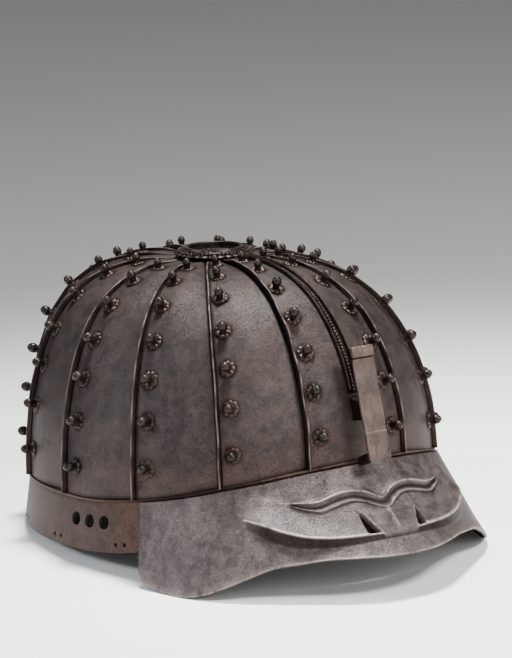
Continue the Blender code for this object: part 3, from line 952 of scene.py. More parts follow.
    def rivet_spots(self) -> tuple[Array, Array, Array]:
        """Places of all rivets on the plates' outer side.

        Returns:
            Feet and outward directions, in the helmet's frame, and sizes.
        """
        draw = np.random.default_rng(5)
        feet, outs, sizes = [], [], []
        for side in Side:
            for seam in range(1, self.per_side + 2):
                for share, size in self.rivet_rows:
                    phi = side.value * self.seam_angle(seam)
                    psi = share * math.pi / 2.0
                    slide = self.rivet_jitter * draw.uniform(-1.0, 1.0, 2) / self.form.front_reach
                    foot = self.form.point(phi + slide[0], psi + slide[1], self.top_lift)
                    out = self.form.normal(phi, psi, self.top_lift) + draw.normal(0.0, self.rivet_lean, 3)
                    feet.append(foot)
                    outs.append(out / np.linalg.norm(out))
                    sizes.append(size)
        return np.array(feet), np.array(outs), np.array(sizes)

    def build_plate(self, name: str, section: Section) -> None:
        """Build, paint and hand over one plate.

        Args:
            name: the plate's node.
            section: its outer side.
        """
        psi = self.row_turn(section.angles, self.shares()[:, None])
        outer = self.form.point(section.angles, psi, section.lifts + self.thickness + section.rises)
        keep = np.flatnonzero(section.rises.max(0) == 0.0)[::-1]
        inner = self.form.point(section.angles[:, keep], psi[:, keep], section.lifts[:, keep])
        loops = np.concatenate([outer, inner], axis=1)
        mesh = grid_mesh(name, self.place.outward(loops), ring=False)
        piece = add_piece(name, mesh)

        feet = self.rivet_spots()[0]
        flat = loops.reshape(-1, 3)
        to_feet = np.linalg.norm(flat[:, None] - feet[None], axis=2)
        nearest = np.min(to_feet, axis=1).reshape(loops.shape[:2])
        above_edge = loops[..., 2] - self.form.edge_height(np.arctan2(loops[..., 0], -loops[..., 1]))
        inside = np.zeros((len(loops), len(keep)))
        rust = 0.75 * smooth_step(self.seat_rust_reach, 3.5 * MM, nearest)
        rust = rust + 0.75 * smooth_step(self.edge_rust_height, 0.0, above_edge) ** 1.5
        # Painted shade in a ring round each rivet's foot and over the upper bowl towards the crown; the
        # inner side and the lower edge are darker.
        soot_and_shade = np.hstack([section.soot_and_shade, inside + self.inner_darkening])
        soot_and_shade = soot_and_shade + 0.6 * smooth_step(self.seat_shade_reach, 4.2 * MM, nearest)
        soot_and_shade = soot_and_shade + self.crown_shade * smooth_step(self.crown_shade_low, self.crown_shade_high, above_edge)
        soot_and_shade = soot_and_shade + 0.5 * smooth_step(1.2 * MM, 0.2 * MM, above_edge)
        paint(mesh, Paint.RUST, rust + np.hstack([section.rust, inside]))
        paint(mesh, Paint.WEAR, np.hstack([section.wear, inside]))
        paint(mesh, Paint.SOOT_AND_SHADE, np.clip(soot_and_shade, 0.0, 1.0))
        mesh.materials.append(self.finishes.of(self.finishes.plate))
        hand_over(piece, Slot.PLATE, name)

    def build(self) -> None:
        """Build every plate."""
        self.build_plate("front_plate", self.front_section())
        for number in range(1, self.per_side + 1):
            section = self.side_section(number)
            self.build_plate(f"left_plate_{number}", section)
            self.build_plate(f"right_plate_{number}", section.mirrored())
        self.build_plate("back_plate", self.back_section())


def lathe(name: str, outline: Sequence[tuple[float, float]], sides: int) -> bpy.types.Mesh:
    """Closed mesh turned about Z, with a flat cap at each end.

    Args:
        name: the mesh's name.
        outline: radius and height of each ring.
        sides: how many sides the turned shape has.

    Returns:
        The mesh.
    """
    turn = np.linspace(0.0, FULL_TURN, sides, endpoint=False)
    rings = np.array([[(r * math.cos(a), r * math.sin(a), z) for a in turn] for r, z in outline])
    return grid_mesh(name, rings, ring=False)


def ball(name: str, radius: float, low: float) -> bpy.types.Mesh:
    """Small round bead that is cut off flat at its foot and its top.

    Args:
        name: the mesh's name.
        radius: the bead's radius.
        low: angle of its foot below its middle, negative.

    Returns:
        The mesh.
    """
    outline = [(radius * math.cos(a), radius * math.sin(a)) for a in np.linspace(low, 1.35, 6)]
    return lathe(name, outline, 10)


def paint_evenly(mesh: bpy.types.Mesh, wear: float, rust: float) -> None:
    """Paint the same wear and rust on every vertex, without soot.

    Args:
        mesh: the mesh to paint.
        wear: share of wear.
        rust: share of rust.
    """
    for layer, value in ((Paint.WEAR, wear), (Paint.RUST, rust), (Paint.SOOT_AND_SHADE, 0.0)):
        paint(mesh, layer, np.full(len(mesh.vertices), value))


class ScatterTree:
    """Geometry Nodes tree that stands a copy of an object on every point."""

    def __init__(self, name: str) -> None:
        """Build the tree with its named inputs.

        Args:
            name: the tree's name.
        """
        tree = bpy.data.node_groups.new(name, "GeometryNodeTree")
        self.tree = tree
        self.sockets: dict[str, str] = {}
        self.add_input("Points", "NodeSocketGeometry")
        self.add_input("Stud", "NodeSocketObject")
        self.add_input("Size spread", "NodeSocketFloat")
        self.add_input("Seed", "NodeSocketInt")
        self.add_input("Finish", "NodeSocketMaterial")
        tree.interface.new_socket("Geometry", in_out="OUTPUT", socket_type="NodeSocketGeometry")
        s = Shader(tree)
        given = s.add("NodeGroupInput").outputs
        stud = s.add("GeometryNodeObjectInfo", {"Object": given["Stud"]}).outputs["Geometry"]
        out = s.add("GeometryNodeInputNamedAttribute", {"Name": "out"}, data_type="FLOAT_VECTOR")
        aim = s.add("FunctionNodeAlignRotationToVector", {"Vector": out.outputs[0]}, axis="Z")
        low = s.add("ShaderNodeMath", {0: 1.0, 1: given["Size spread"]}, operation="SUBTRACT")
        high = s.add("ShaderNodeMath", {0: 1.0, 1: given["Size spread"]}, operation="ADD")
        limits = {2: low.outputs[0], 3: high.outputs[0], "Seed": given["Seed"]}
        spread = s.add("FunctionNodeRandomValue", limits)
        own = s.add("GeometryNodeInputNamedAttribute", {"Name": "size"}, data_type="FLOAT")
        size = s.add("ShaderNodeMath", {0: own.outputs[0], 1: spread.outputs[1]}, operation="MULTIPLY")
        limits = {0: (0.0, 0.0, 0.0), 1: (0.0, 0.0, 6.283), "Seed": given["Seed"]}
        turn = s.add("FunctionNodeRandomValue", limits, data_type="FLOAT_VECTOR")
        inputs = {
            "Points": given["Points"],
            "Instance": stud,
            "Rotation": aim.outputs[0],
            "Scale": size.outputs[0],
        }
        placed = s.add("GeometryNodeInstanceOnPoints", inputs)
        inputs = {"Instances": placed.outputs[0], "Rotation": turn.outputs[0]}
        spun = s.add("GeometryNodeRotateInstances", inputs)
        real = s.add("GeometryNodeRealizeInstances", {"Geometry": spun.outputs[0]})
        inputs = {"Geometry": real.outputs[0], "Material": given["Finish"]}
        dressed = s.add("GeometryNodeSetMaterial", inputs)
        s.add("NodeGroupOutput", {"Geometry": dressed.outputs[0]})

    def add_input(self, name: str, kind: str) -> None:
        """Add a named input and remember its identifier."""
        socket = self.tree.interface.new_socket(name, in_out="INPUT", socket_type=kind)
        self.sockets[name] = socket.identifier

    def scatter(
        self,
        name: str,
        points: Array,
        outs: Array,
        sizes: Array | float,
        stud: bpy.types.Mesh,
        values: dict[str, object],
    ) -> bpy.types.Object:
        """Stand a copy of a mesh on every point.

        Args:
            name: the new piece's name.
            points: where the copies stand, in the row's frame.
            outs: which way each copy's Z points.
            sizes: scale of each copy.
            stud: the mesh that is copied.
            values: the tree's other inputs by name.

        Returns:
            The piece, with a plain mesh.
        """
        cloud = bpy.data.meshes.new(name)
        cloud.from_pydata(points.tolist(), [], [])
        aims = cloud.attributes.new("out", "FLOAT_VECTOR", "POINT")
        aims.data.foreach_set("vector", outs.astype(np.float32).ravel())
        own = cloud.attributes.new("size", "FLOAT", "POINT")
        own.data.foreach_set("value", np.broadcast_to(sizes, len(points)).astype(np.float32))
        piece = bpy.data.objects.new(name, cloud)
        bpy.context.scene.collection.objects.link(piece)
        pattern = add_piece(name + "_pattern", stud)
        modifier = piece.modifiers.new("scatter", "NODES")
        modifier.node_group = self.tree
        for key, value in {"Stud": pattern, **values}.items():
            modifier[self.sockets[key]] = value
        mesh = baked(piece)
        bpy.data.objects.remove(pattern, do_unlink=True)
        for spent in ("out", "size"):
            if spent in mesh.attributes:
                mesh.attributes.remove(mesh.attributes[spent])
        return piece


@dataclass
class Rivets:
    """Tall round-headed rivets on petalled seats, one column to each seam."""

    bowl: Bowl
    scatter: ScatterTree
    radius: float = 2.7 * MM
    height: float = 7.7 * MM
    neck_share: float = 0.72
    seat_radius: float = 4.8 * MM
    seat_height: float = 1.2 * MM
    petals: int = 8
    sink: float = 0.25 * MM

    def head(self) -> bpy.types.Mesh:
        """One rivet head: a narrow neck under an acorn-shaped knob.

        Returns:
            The mesh, standing on the origin.
        """
        neck = self.neck_share * self.radius
        belly = 0.56 * self.height
        outline = [(neck, -self.sink), (neck, 0.12 * self.height), (neck * 1.06, 0.24 * self.height)]
        for turn in np.linspace(0.10, 0.5, 4):
            wide = neck + (self.radius - neck) * math.sin(turn * math.pi)
            outline.append((wide, belly - (0.5 - turn) * belly * 0.75))
        for turn in np.linspace(0.09, 0.485, 6):
            rise = self.height - belly
            outline.append((self.radius * math.cos(turn * math.pi), belly + rise * math.sin(turn * math.pi)))
        return lathe("rivet_head", outline, 18)

    def seat(self) -> bpy.types.Mesh:
        """One petalled seat round the foot of a rivet.

        Returns:
            The mesh, lying on the origin.
        """
        sides = self.petals * 6
        turn = np.linspace(0.0, FULL_TURN, sides, endpoint=False)
        uneven = 0.72 + 0.28 * np.sin(3.0 * turn + 1.0) * np.sin(turn)
        petal = np.abs(np.cos(self.petals * turn / 2.0)) * uneven
        rings = []
        for share in (1.0, 1.0, 0.93, 0.80, 0.64, 0.48):
            edge = 1.0 - 0.16 * (1.0 - petal) * smooth_step(0.5, 1.0, share)
            radius = self.seat_radius * share * edge
            crown = math.sqrt(max(0.0, 1.0 - ((share - 0.66) / 0.36) ** 2))
            height = self.seat_height * crown * (0.42 + 0.58 * petal ** 0.7)
            if not rings:
                height = np.full(sides, -self.sink)
            rings.append(np.stack([radius * np.cos(turn), radius * np.sin(turn), height], -1))
        return grid_mesh("rivet_seat", np.array(rings), ring=False)

    def build(self) -> None:
        """Stand heads and seats on every rivet spot, and paint them."""
        feet, outs, sizes = self.bowl.rivet_spots()
        points = self.bowl.place.outward(feet)
        turned = outs @ self.bowl.place.turn.T
        finish = self.bowl.finishes.of(self.bowl.finishes.fitting)
        for name, pattern, spread, seed, rust, wear in (
            ("rivet_heads", self.head(), 0.05, 3, 0.5, 0.02),
            ("rivet_seats", self.seat(), 0.07, 8, 0.9, 0.06),
        ):
            values = {"Size spread": spread, "Seed": seed, "Finish": finish}
            piece = self.scatter.scatter(name, points, turned, sizes, pattern, values)
            mesh = piece.data
            above = np.min(np.linalg.norm(vertex_points(mesh)[:, None] - points[None], axis=2), axis=1)
            paint(mesh, Paint.RUST, rust * smooth_step(6.0 * MM, 2.0 * MM, above))
            paint(mesh, Paint.WEAR, np.full(len(above), wear))
            paint(mesh, Paint.SOOT_AND_SHADE, np.zeros(len(above)))
            hand_over(piece, Slot.FITTING)


@dataclass
class FrontMoulding:
    """Two thin ridges with a beaded groove between them, down the front plate."""

    bowl: Bowl
    scatter: ScatterTree
    low_share: float = 0.21
    low_width: float = 7.6 * MM
    high_width: float = 4.4 * MM
    height: float = 2.2 * MM
    bead_radius: float = 0.95 * MM
    bead_pitch: float = 1.9 * MM
    rows: int = 90
    ridge: Table = (
        (0.64, 0.10), (0.68, 0.50), (0.74, 0.90), (0.82, 1.0), (0.90, 0.92), (0.97, 0.60), (1.0, 0.05),
    )
    groove_rise: float = 0.06

    def station(self, share: Array) -> tuple[Array, Array]:
        """Place and width of the moulding at row shares.

        Args:
            share: row shares.

        Returns:
            Angles up the dome and half widths.
        """
        psi = self.bowl.row_turn(0.0, share)
        rise = (share - self.low_share) / (1.0 - self.low_share)
        return psi, (self.low_width + (self.high_width - self.low_width) * rise) / 2.0

    def build(self) -> None:
        """Build the moulding and its beads."""
        form, place = self.bowl.form, self.bowl.place
        base = self.bowl.top_lift + self.bowl.gap
        psi, half = self.station(np.linspace(self.low_share, 1.0, self.rows))
        turn = half / form.plan_radius(0.0, psi)
        mirrored = [(-place, height) for place, height in reversed(self.ridge)]
        outline = np.array([*mirrored, (0.0, self.groove_rise), *self.ridge])
        across, rise = outline[:, 0], outline[:, 1]
        top = form.point(turn[:, None] * across, psi[:, None], base + self.height * rise)
        foot = form.point(turn[:, None] * np.array([1.0, 0.0, -1.0]), psi[:, None], base)
        mesh = grid_mesh("front_moulding", place.outward(np.concatenate([top, foot], axis=1)), ring=False)
        piece = add_piece("front_moulding", mesh)
        wear = np.zeros((self.rows, len(across) + 3))
        wear[:, :len(across)] = np.where(rise > 0.95, 0.4, 0.0)
        # Painted shade in the groove and along the ridges' feet, and a painted shadow over the moulding's
        # lower end.
        soot_and_shade = np.zeros_like(wear)
        soot_and_shade[:, :len(across)] = np.where(rise < 0.4, 0.7, 0.0)
        soot_and_shade[:2], wear[:2] = 1.0, 0.0
        paint(mesh, Paint.WEAR, wear)
        paint(mesh, Paint.SOOT_AND_SHADE, soot_and_shade)
        paint(mesh, Paint.RUST, np.full(wear.shape, 0.35))
        mesh.materials.append(self.bowl.finishes.of(self.bowl.finishes.fitting))
        hand_over(piece, Slot.FITTING, "front_moulding")

        turns = self.station(np.linspace(self.low_share, 1.0, 400))[0]
        line = form.point(0.0, turns, base)
        walked = np.concatenate([[0.0], np.cumsum(np.linalg.norm(np.diff(line, axis=0), axis=1))])
        stops = np.arange(self.bead_pitch, walked[-1] - self.bead_pitch, self.bead_pitch)
        psi = np.interp(stops, walked, turns)
        feet = form.point(0.0, psi, base + self.height * 0.20)
        sizes = np.interp(stops, (0.0, walked[-1]), (1.0, self.high_width / self.low_width))
        outs = form.normal(np.zeros_like(psi), psi, np.full_like(psi, base)) @ place.turn.T
        bead = ball("bead", self.bead_radius, -1.2)
        finish = self.bowl.finishes.of(self.bowl.finishes.fitting)
        values = {"Size spread": 0.08, "Seed": 4, "Finish": finish}
        beads = self.scatter.scatter("moulding_beads", place.outward(feet), outs, sizes, bead, values)
        paint_evenly(beads.data, wear=0.12, rust=0.2)
        hand_over(beads, Slot.FITTING)


@dataclass
class Crown:
    """Petalled rosette and stepped collar round the open eye."""

    bowl: Bowl
    scatter: ScatterTree
    eye_radius: float = 14.0 * MM
    rosette_radius: float = 22.0 * MM
    rosette_thickness: float = 1.5 * MM
    collar_radius: float = 18.6 * MM
    collar_top_radius: float = 16.4 * MM
    collar_height: float = 1.9 * MM
    petals: int = 28
    steps: int = 8
    bead_radius: float = 0.7 * MM
    beads: int = 52

    def seat(self) -> float:
        """Height of the rosette's underside, read from the solid.

        Returns:
            The height in the helmet's own frame.
        """
        low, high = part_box("crown_rosette")
        middle = self.bowl.place.inward(np.array([(low + high) / 2.0]))[0]
        return float(middle[2]) - self.rosette_thickness / 2.0

    def ring_mesh(self, name: str, outline: Sequence[tuple[Array, Array]]) -> bpy.types.Mesh:
        """Ring round the crown's upright line.

        Args:
            name: the mesh's name.
            outline: radius and height of each point of the section, by angle.

        Returns:
            The closed mesh.
        """
        turn = self.angles()
        middle = self.bowl.form.crown_shift
        loops = []
        for r, z in outline:
            loops.append(np.stack([r * np.cos(turn), middle + r * np.sin(turn), z + 0.0 * turn], -1))
        return grid_mesh(name, self.bowl.place.outward(np.array(loops).transpose(1, 0, 2)), ring=True)

    def angles(self) -> Array:
        """Angles round the crown."""
        count = self.petals * self.steps
        return np.linspace(0.0, FULL_TURN, count, endpoint=False)

    def finish_piece(self, name: str, mesh: bpy.types.Mesh) -> None:
        """Paint, dress and hand over one ring.

        Args:
            name: the ring's node.
            mesh: its mesh.
        """
        piece = add_piece(name, mesh)
        height = self.bowl.place.inward(vertex_points(mesh))[:, 2]
        paint(mesh, Paint.WEAR, 0.12 * smooth_step(height.max() - 0.6 * MM, height.max(), height))
        paint(mesh, Paint.RUST, 0.5 * smooth_step(height.max(), height.min(), height))
        # Darker towards the bottom.
        paint(mesh, Paint.SOOT_AND_SHADE, 0.35 * smooth_step(height.max() - 0.5 * MM, height.min(), height))
        mesh.materials.append(self.bowl.finishes.of(self.bowl.finishes.fitting))
        hand_over(piece, Slot.FITTING, name)

    def build(self) -> None:
        """Build the rosette, the collar and the ring of beads between them."""
        seat = self.seat()
        turn = self.angles()
        petal = np.abs(np.cos(self.petals * turn / 2.0)) ** 0.6
        top = seat + self.rosette_thickness
        scallop = self.rosette_radius * (0.955 + 0.045 * petal)
        inner, outer = self.eye_radius, self.rosette_radius
        bead_edge = self.collar_radius + 2.0 * self.bead_radius
        valley = 0.55 * MM * (1.0 - petal)
        self.finish_piece("crown_rosette", self.ring_mesh("crown_rosette", [
            (inner, seat),
            (outer * 0.94, seat),
            (scallop, seat + 0.35 * MM),
            (scallop * 0.985, seat + 0.8 * MM),
            (outer * 0.92, top - 0.25 * MM - valley * 0.7),
            (outer * 0.88, top - valley),
            (bead_edge, top - valley * 0.3),
            (inner, top),
        ]))
        foot = top + self.bowl.gap
        step = foot + self.collar_height * 0.45
        crest = foot + self.collar_height
        wide, narrow, lip = self.collar_radius, self.collar_top_radius, 0.3 * MM
        self.finish_piece("crown_collar", self.ring_mesh("crown_collar", [
            (inner, foot),
            (wide - lip, foot),
            (wide, foot + lip),
            (wide, step - lip),
            (wide - lip, step),
            (narrow + lip, step),
            (narrow, step + lip),
            (narrow - 0.1 * MM, crest - lip),
            (narrow - lip, crest),
            (inner + lip, crest),
            (inner, crest - lip),
        ]))
        angle = np.linspace(0.0, FULL_TURN, self.beads, endpoint=False)
        radius = self.collar_radius + self.bead_radius
        middle, level = self.bowl.form.crown_shift, np.full_like(angle, top + 0.2 * MM)
        feet = np.stack([radius * np.cos(angle), middle + radius * np.sin(angle), level], -1)
        bead = ball("crown_bead", self.bead_radius, -0.9)
        outs = np.broadcast_to(self.bowl.place.turn @ np.array([0.0, 0.0, 1.0]), feet.shape)
        finish = self.bowl.finishes.of(self.bowl.finishes.fitting)
        values = {"Size spread": 0.06, "Seed": 9, "Finish": finish}
        beads = self.scatter.scatter("crown_beads", self.bowl.place.outward(feet), outs, 1.0, bead, values)
        paint_evenly(beads.data, wear=0.1, rust=0.3)
        hand_over(beads, Slot.FITTING)


@dataclass
class NeckBand:
    """Band under the bowl, with a ledge, cord holes and lacing holes."""

    bowl: Bowl
    depth: float = 28.4 * MM
    thickness: float = 1.8 * MM
    tuck_height: float = 6.0 * MM
    tuck_gap: float = 1.0 * MM
    top_lift: float = 0.8 * MM
    flare: float = 3.7 * MM
    ledge_gap: float = 0.25 * MM
    ledge_thickness: float = 1.2 * MM
    ledge_overhang: float = 0.9 * MM
    segments: int = 288
    cord_radius: float = 3.6 * MM
    cord_count: int = 3
    cord_drop: float = 12.6 * MM
    cord_angle: float = math.radians(83.0)
    cord_spacing: float = 9.6 * MM
    lace_radius: float = 1.1 * MM
    lace_spacing: float = 5.2 * MM
    lace_rise: float = 4.4 * MM
    lace_pairs: int = 5
    lace_first: float = math.radians(71.6)
    lace_pitch: float = math.radians(24.0)

    def outline(self) -> list[tuple[float, float]]:
        """Section of the band.

        Returns:
            Lift and height of each point.
        """
        seat = self.bowl.low_lift - self.tuck_gap
        top, low = -self.ledge_gap, -self.ledge_gap - self.ledge_thickness
        rim = self.bowl.top_lift + self.ledge_overhang
        foot, wall, r = self.top_lift + self.flare, self.thickness, 0.35 * MM
        skirt = [(self.top_lift + self.flare * t, low - 0.9 * MM - (self.depth + low - 1.6 * MM) * t)
                 for t in np.linspace(0.0, 0.94, 12)]
        back = [(lift - wall, height) for lift, height in reversed(skirt)]
        return [
            (seat, self.tuck_height), (seat, top), (rim - r, top), (rim - 0.1 * MM, top - 0.15 * MM),
            (rim, top - self.ledge_thickness / 2.0), (rim - 0.1 * MM, low + 0.15 * MM), (rim - r, low),
            (self.top_lift + r, low), *skirt,
            (foot, r - self.depth), (foot - r, -self.depth),
            (foot - wall + r, -self.depth), (foot - wall, r - self.depth),
            *back, (seat - wall, self.tuck_height / 2.0), (seat - wall, self.tuck_height),
        ]

    def skin(self, phi: float, height: float) -> Array:
        """Point on the outer side of the skirt.

        Args:
            phi: angle round the bowl.
            height: height above the bowl's edge, negative below it.

        Returns:
            The point.
        """
        top = -self.ledge_gap - self.ledge_thickness
        share = (top - height) / (self.depth + top)
        return self.bowl.form.wall_point(phi, self.top_lift + self.flare * share, height)

    def holes(self) -> list[tuple[float, float, float]]:
        """Cord holes and lacing holes of both sides.

        Returns:
            Angle, height and radius of every hole.
        """
        holes = []
        for side in Side:
            for i in range(self.cord_count):
                along = (i - (self.cord_count - 1) / 2.0) * self.cord_spacing
                angle = self.cord_angle + along / float(self.bowl.form.plan_radius(self.cord_angle, 0.0))
                holes.append((side.value * angle, -self.cord_drop, self.cord_radius))
            for pair in range(self.lace_pairs):
                middle = self.lace_first + self.lace_pitch * pair
                step = self.lace_spacing / 2.0 / float(self.bowl.form.plan_radius(middle, 0.0))
                for angle in (middle - step, middle + step):
                    holes.append((side.value * angle, self.lace_rise - self.depth, self.lace_radius))
        return holes

    def drills(self) -> bpy.types.Object:
        """Round cutters for all the holes.

        Returns:
            One object with all the cutters, which is removed after the cut.
        """
        builder = bmesh.new()
        for phi, height, radius in self.holes():
            centre = self.skin(phi, height)
            step = 1.0e-3
            along = self.skin(phi + step, height) - self.skin(phi - step, height)
            up = self.skin(phi, height + step) - self.skin(phi, height - step)
            normal = Vector(self.bowl.place.turn @ np.cross(along, up)).normalized()
            turn = normal.to_track_quat("Z", "Y").to_matrix().to_4x4()
            spot = Matrix.Translation(self.bowl.place.outward(centre)) @ turn
            bmesh.ops.create_cone(
                builder, cap_ends=True, segments=28, radius1=radius, radius2=radius,
                depth=6.0 * self.thickness, matrix=spot,
            )
        mesh = bpy.data.meshes.new("band_drills")
        builder.to_mesh(mesh)
        builder.free()
        return add_piece("band_drills", mesh)

    def build(self) -> None:
        """Build the band and cut its holes."""
        outline = self.outline()
        phi = np.linspace(0.0, FULL_TURN, self.segments, endpoint=False)[:, None]
        lift = np.array([row[0] for row in outline])
        height = np.array([row[1] for row in outline])
        loops = self.bowl.form.wall_point(phi, lift, height)
        piece = add_piece("neck_band", grid_mesh("neck_band", self.bowl.place.outward(loops), ring=True))
        drills = self.drills()
        cut = piece.modifiers.new("holes", "BOOLEAN")
        cut.operation = "DIFFERENCE"
        cut.solver = "EXACT"
        cut.object = drills
        mesh = baked(piece)
        bpy.data.objects.remove(drills, do_unlink=True)
        mesh.materials.clear()
        mesh.materials.append(self.bowl.finishes.of(self.bowl.finishes.band))
        mesh.shade_smooth()
        mesh.set_sharp_from_angle(angle=SHARP_ANGLE)

        points = self.bowl.place.inward(vertex_points(mesh))
        phi = np.arctan2(points[:, 0], -points[:, 1])
        below = self.bowl.form.edge_height(phi) - points[:, 2]
        bowl_edge = self.bowl.form.wall_point(phi, self.bowl.top_lift, 0.0)
        out = np.linalg.norm(points[:, :2], axis=1) - np.linalg.norm(bowl_edge[:, :2], axis=1)
        ledge = smooth_step(0.1 * MM, 0.7 * MM, out) * smooth_step(2.2 * MM, 1.4 * MM, below)
        paint(mesh, Paint.WEAR, 0.2 * ledge)
        near_peak = smooth_step(0.14, 0.02, np.abs(np.abs(phi) - math.radians(68.0)))
        under = smooth_step(6.0 * MM, 2.0 * MM, below)
        paint(mesh, Paint.RUST, 0.25 + 0.75 * near_peak + 0.45 * under)
        # Darker inner side, a painted shadow just under the ledge, and a darker ledge.
        inside = smooth_step(-2.0 * MM, -3.5 * MM, out)
        line = smooth_step(1.2 * MM, 1.7 * MM, below) * smooth_step(3.0 * MM, 2.2 * MM, below)
        paint(mesh, Paint.SOOT_AND_SHADE, np.clip(0.45 * inside + 0.8 * line + 0.35 * ledge, 0.0, 1.0))
        hand_over(piece, Slot.BAND, "neck_band")


@dataclass
class Peak:
    """Wide peak with drooping wings, embossed with a brow, horns and a nose bridge."""

    bowl: Bowl
    band: NeckBand
    half_angle: float = math.radians(64.8)
    side_rake: float = 0.045
    thickness: float = 1.8 * MM
    depth: float = 46.4 * MM
    front_slope: float = 0.80
    side_slope: float = 0.27
    seat_gap: float = 0.4 * MM
    front_columns: int = 156
    side_columns: int = 40
    relief_end: float = math.radians(38.0)
    brow_height: float = 2.1 * MM
    horn_height: float = 4.4 * MM
    nose_height: float = 4.5 * MM
    flange_height: float = 3.7 * MM
    flange_flare: float = 2.0 * MM
    edge: Table = (
        (0.0, 46.2), (6.0, 45.6), (12.3, 43.5), (18.5, 41.3), (22.7, 40.8), (31.1, 41.0), (37.6, 44.2),
        (43.1, 47.2), (48.0, 49.2), (52.0, 49.2), (55.7, 47.4), (59.3, 44.8), (61.9, 42.6), (63.8, 40.2),
        (64.8, 36.5),
    )
    brow_top: Table = (
        (0.0, 17.8), (3.5, 14.4), (6.5, 13.0), (10.0, 12.6), (13.5, 13.5), (17.0, 14.8), (20.5, 14.5),
        (25.0, 13.0), (65.0, 12.0),
    )
    brow_foot: Table = (
        (0.0, 23.0), (3.5, 19.8), (7.0, 17.4), (10.0, 17.4), (13.5, 18.6), (17.0, 19.4), (20.5, 17.6),
        (25.0, 13.9), (65.0, 13.2),
    )
    horn_crest: Table = (
        (0.0, 35.4), (5.0, 35.2), (9.0, 34.8), (13.0, 34.2), (18.0, 32.8), (22.5, 30.6), (28.6, 25.4),
        (32.6, 21.0), (36.2, 17.2), (39.0, 16.4), (65.0, 16.4),
    )
    horn_foot: Table = (
        (0.0, 38.2), (4.0, 38.2), (14.0, 37.7), (19.0, 36.6), (23.0, 35.2), (29.0, 31.4), (33.0, 26.0),
        (36.2, 20.5), (39.0, 19.5), (65.0, 19.5),
    )

    def slope(self, phi: Array) -> Array:
        """Outward run for each unit of drop."""
        return self.side_slope + (self.front_slope - self.side_slope) * np.cos(phi) ** 2

    def skin(self, share: Array, drop: Array) -> Array:
        """Points on the plain outer side, before any embossing.

        Args:
            share: shares of the half angle from the front, negative on the right.
            drop: distances below the bowl's edge.

        Returns:
            Points in a last axis of three.
        """
        phi = share * self.half_angle * (1.0 - self.side_rake * drop / self.depth)
        seat = self.band.top_lift + self.seat_gap + self.thickness
        points = self.bowl.form.point(phi, 0.0, seat + self.slope(phi) * drop)
        points[..., 2] = self.bowl.form.edge_height(phi) - drop
        return points

    def normals(self, share: Array, drop: Array) -> Array:
        """Outward unit normals of the plain skin.

        Args:
            share: shares of the half angle from the front.
            drop: distances below the bowl's edge.

        Returns:
            One unit vector for each point.
        """
        step_share, step_drop = 1.0e-3, 1.0e-4
        along = self.skin(share + step_share, drop) - self.skin(share - step_share, drop)
        down = self.skin(share, drop + step_drop) - self.skin(share, drop - step_drop)
        normal = np.cross(down, along)
        return normal / np.linalg.norm(normal, axis=-1, keepdims=True)

    def rows(self, angle: Array) -> Array:
        """Drops of the rows, which follow the embossed lines, by column.

        Args:
            angle: distance of each column from the front, in degrees.

        Returns:
            Drops in metres, by column and row.
        """
        top = (self.band.ledge_gap + self.band.ledge_thickness + self.seat_gap) / MM
        brow, foot = through(self.brow_top, angle), through(self.brow_foot, angle)
        crest, under = through(self.horn_crest, angle), through(self.horn_foot, angle)
        edge = through(self.edge, angle)
        width = foot - brow
        under = np.minimum(under, edge - 2.0)
        keys = [
            top + 0.0 * angle, brow - 0.5 * width, brow + 0.12 * width, foot, foot + 0.3 * width,
            crest - 0.5, crest + 0.4, under, edge - 0.6, edge,
        ]
        keys = np.maximum.accumulate(np.stack(keys, -1) + 0.02 * np.arange(len(keys)), axis=-1)
        counts = (8, 8, 14, 5, 15, 4, 10, 9, 2)
        steps = np.diff(keys, axis=1)
        runs = []
        for k, count in enumerate(counts):
            runs.append(keys[:, k, None] + steps[:, k, None] * np.linspace(0.0, 1.0, count, endpoint=False))
        return np.hstack([*runs, keys[:, -1:]]) * MM

    def relief(self, angle: Array, drop: Array) -> tuple[Array, Array, Array]:
        """Embossed height, wear and painted shade of the peak.

        Args:
            angle: distance from the front, in degrees.
            drop: distance below the bowl's edge, in metres.

        Returns:
            Height in metres, wear and painted shade as shares.
        """
        d = drop / MM
        brow, foot = through(self.brow_top, angle), through(self.brow_foot, angle)
        crest, under = through(self.horn_crest, angle), through(self.horn_foot, angle)
        edge = through(self.edge, angle)
        t = (d - brow) / np.maximum(foot - brow, 0.6)
        brow_fade = smooth_step(25.2, 22.0, angle)
        across = (-0.42, -0.14, 0.04, 0.12, 0.20, 0.34, 0.74, 0.88, 0.98, 1.05, 1.14, 1.34)
        ridge = np.interp(t, across, (0.0, 0.22, 0.90, 1.0, 0.76, 0.16, 0.04, 0.20, 0.66, 0.56, 0.06, 0.0))
        height = self.brow_height * ridge * brow_fade

        start = np.maximum(foot + 0.3 * (foot - brow), crest - 15.0)
        start = np.minimum(start, crest - 3.0)
        rise = np.clip((d - start) / (crest - start), 0.0, 1.0)
        horn_fade = smooth_step(36.6, 30.0, angle) * 0.8 + 0.2 * smooth_step(36.6, 35.0, angle)
        fall = np.clip((d - crest) / np.maximum(under - crest, 0.5), 0.0, 1.0)
        left = (1.0 - fall) ** 1.25
        face = np.where(d < crest, 0.14 + 0.86 * rise ** 1.7, left)
        face = np.where(d < start, 0.14 * smooth_step(0.0, 1.0, 1.0 - (start - d) / 3.0), face)
        lip = bell(d - crest, -0.4, 0.5) * 0.10
        height = height + self.horn_height * (face + lip) * horn_fade
        below = (d - under) / np.maximum(edge - under, 2.0) * 0.5
        flare = smooth_step(0.0, 1.0, below) * 2.0
        flange = self.flange_height + self.flange_flare * flare
        height = height + flange * (1.0 - left) * smooth_step(27.0, 3.0, angle)

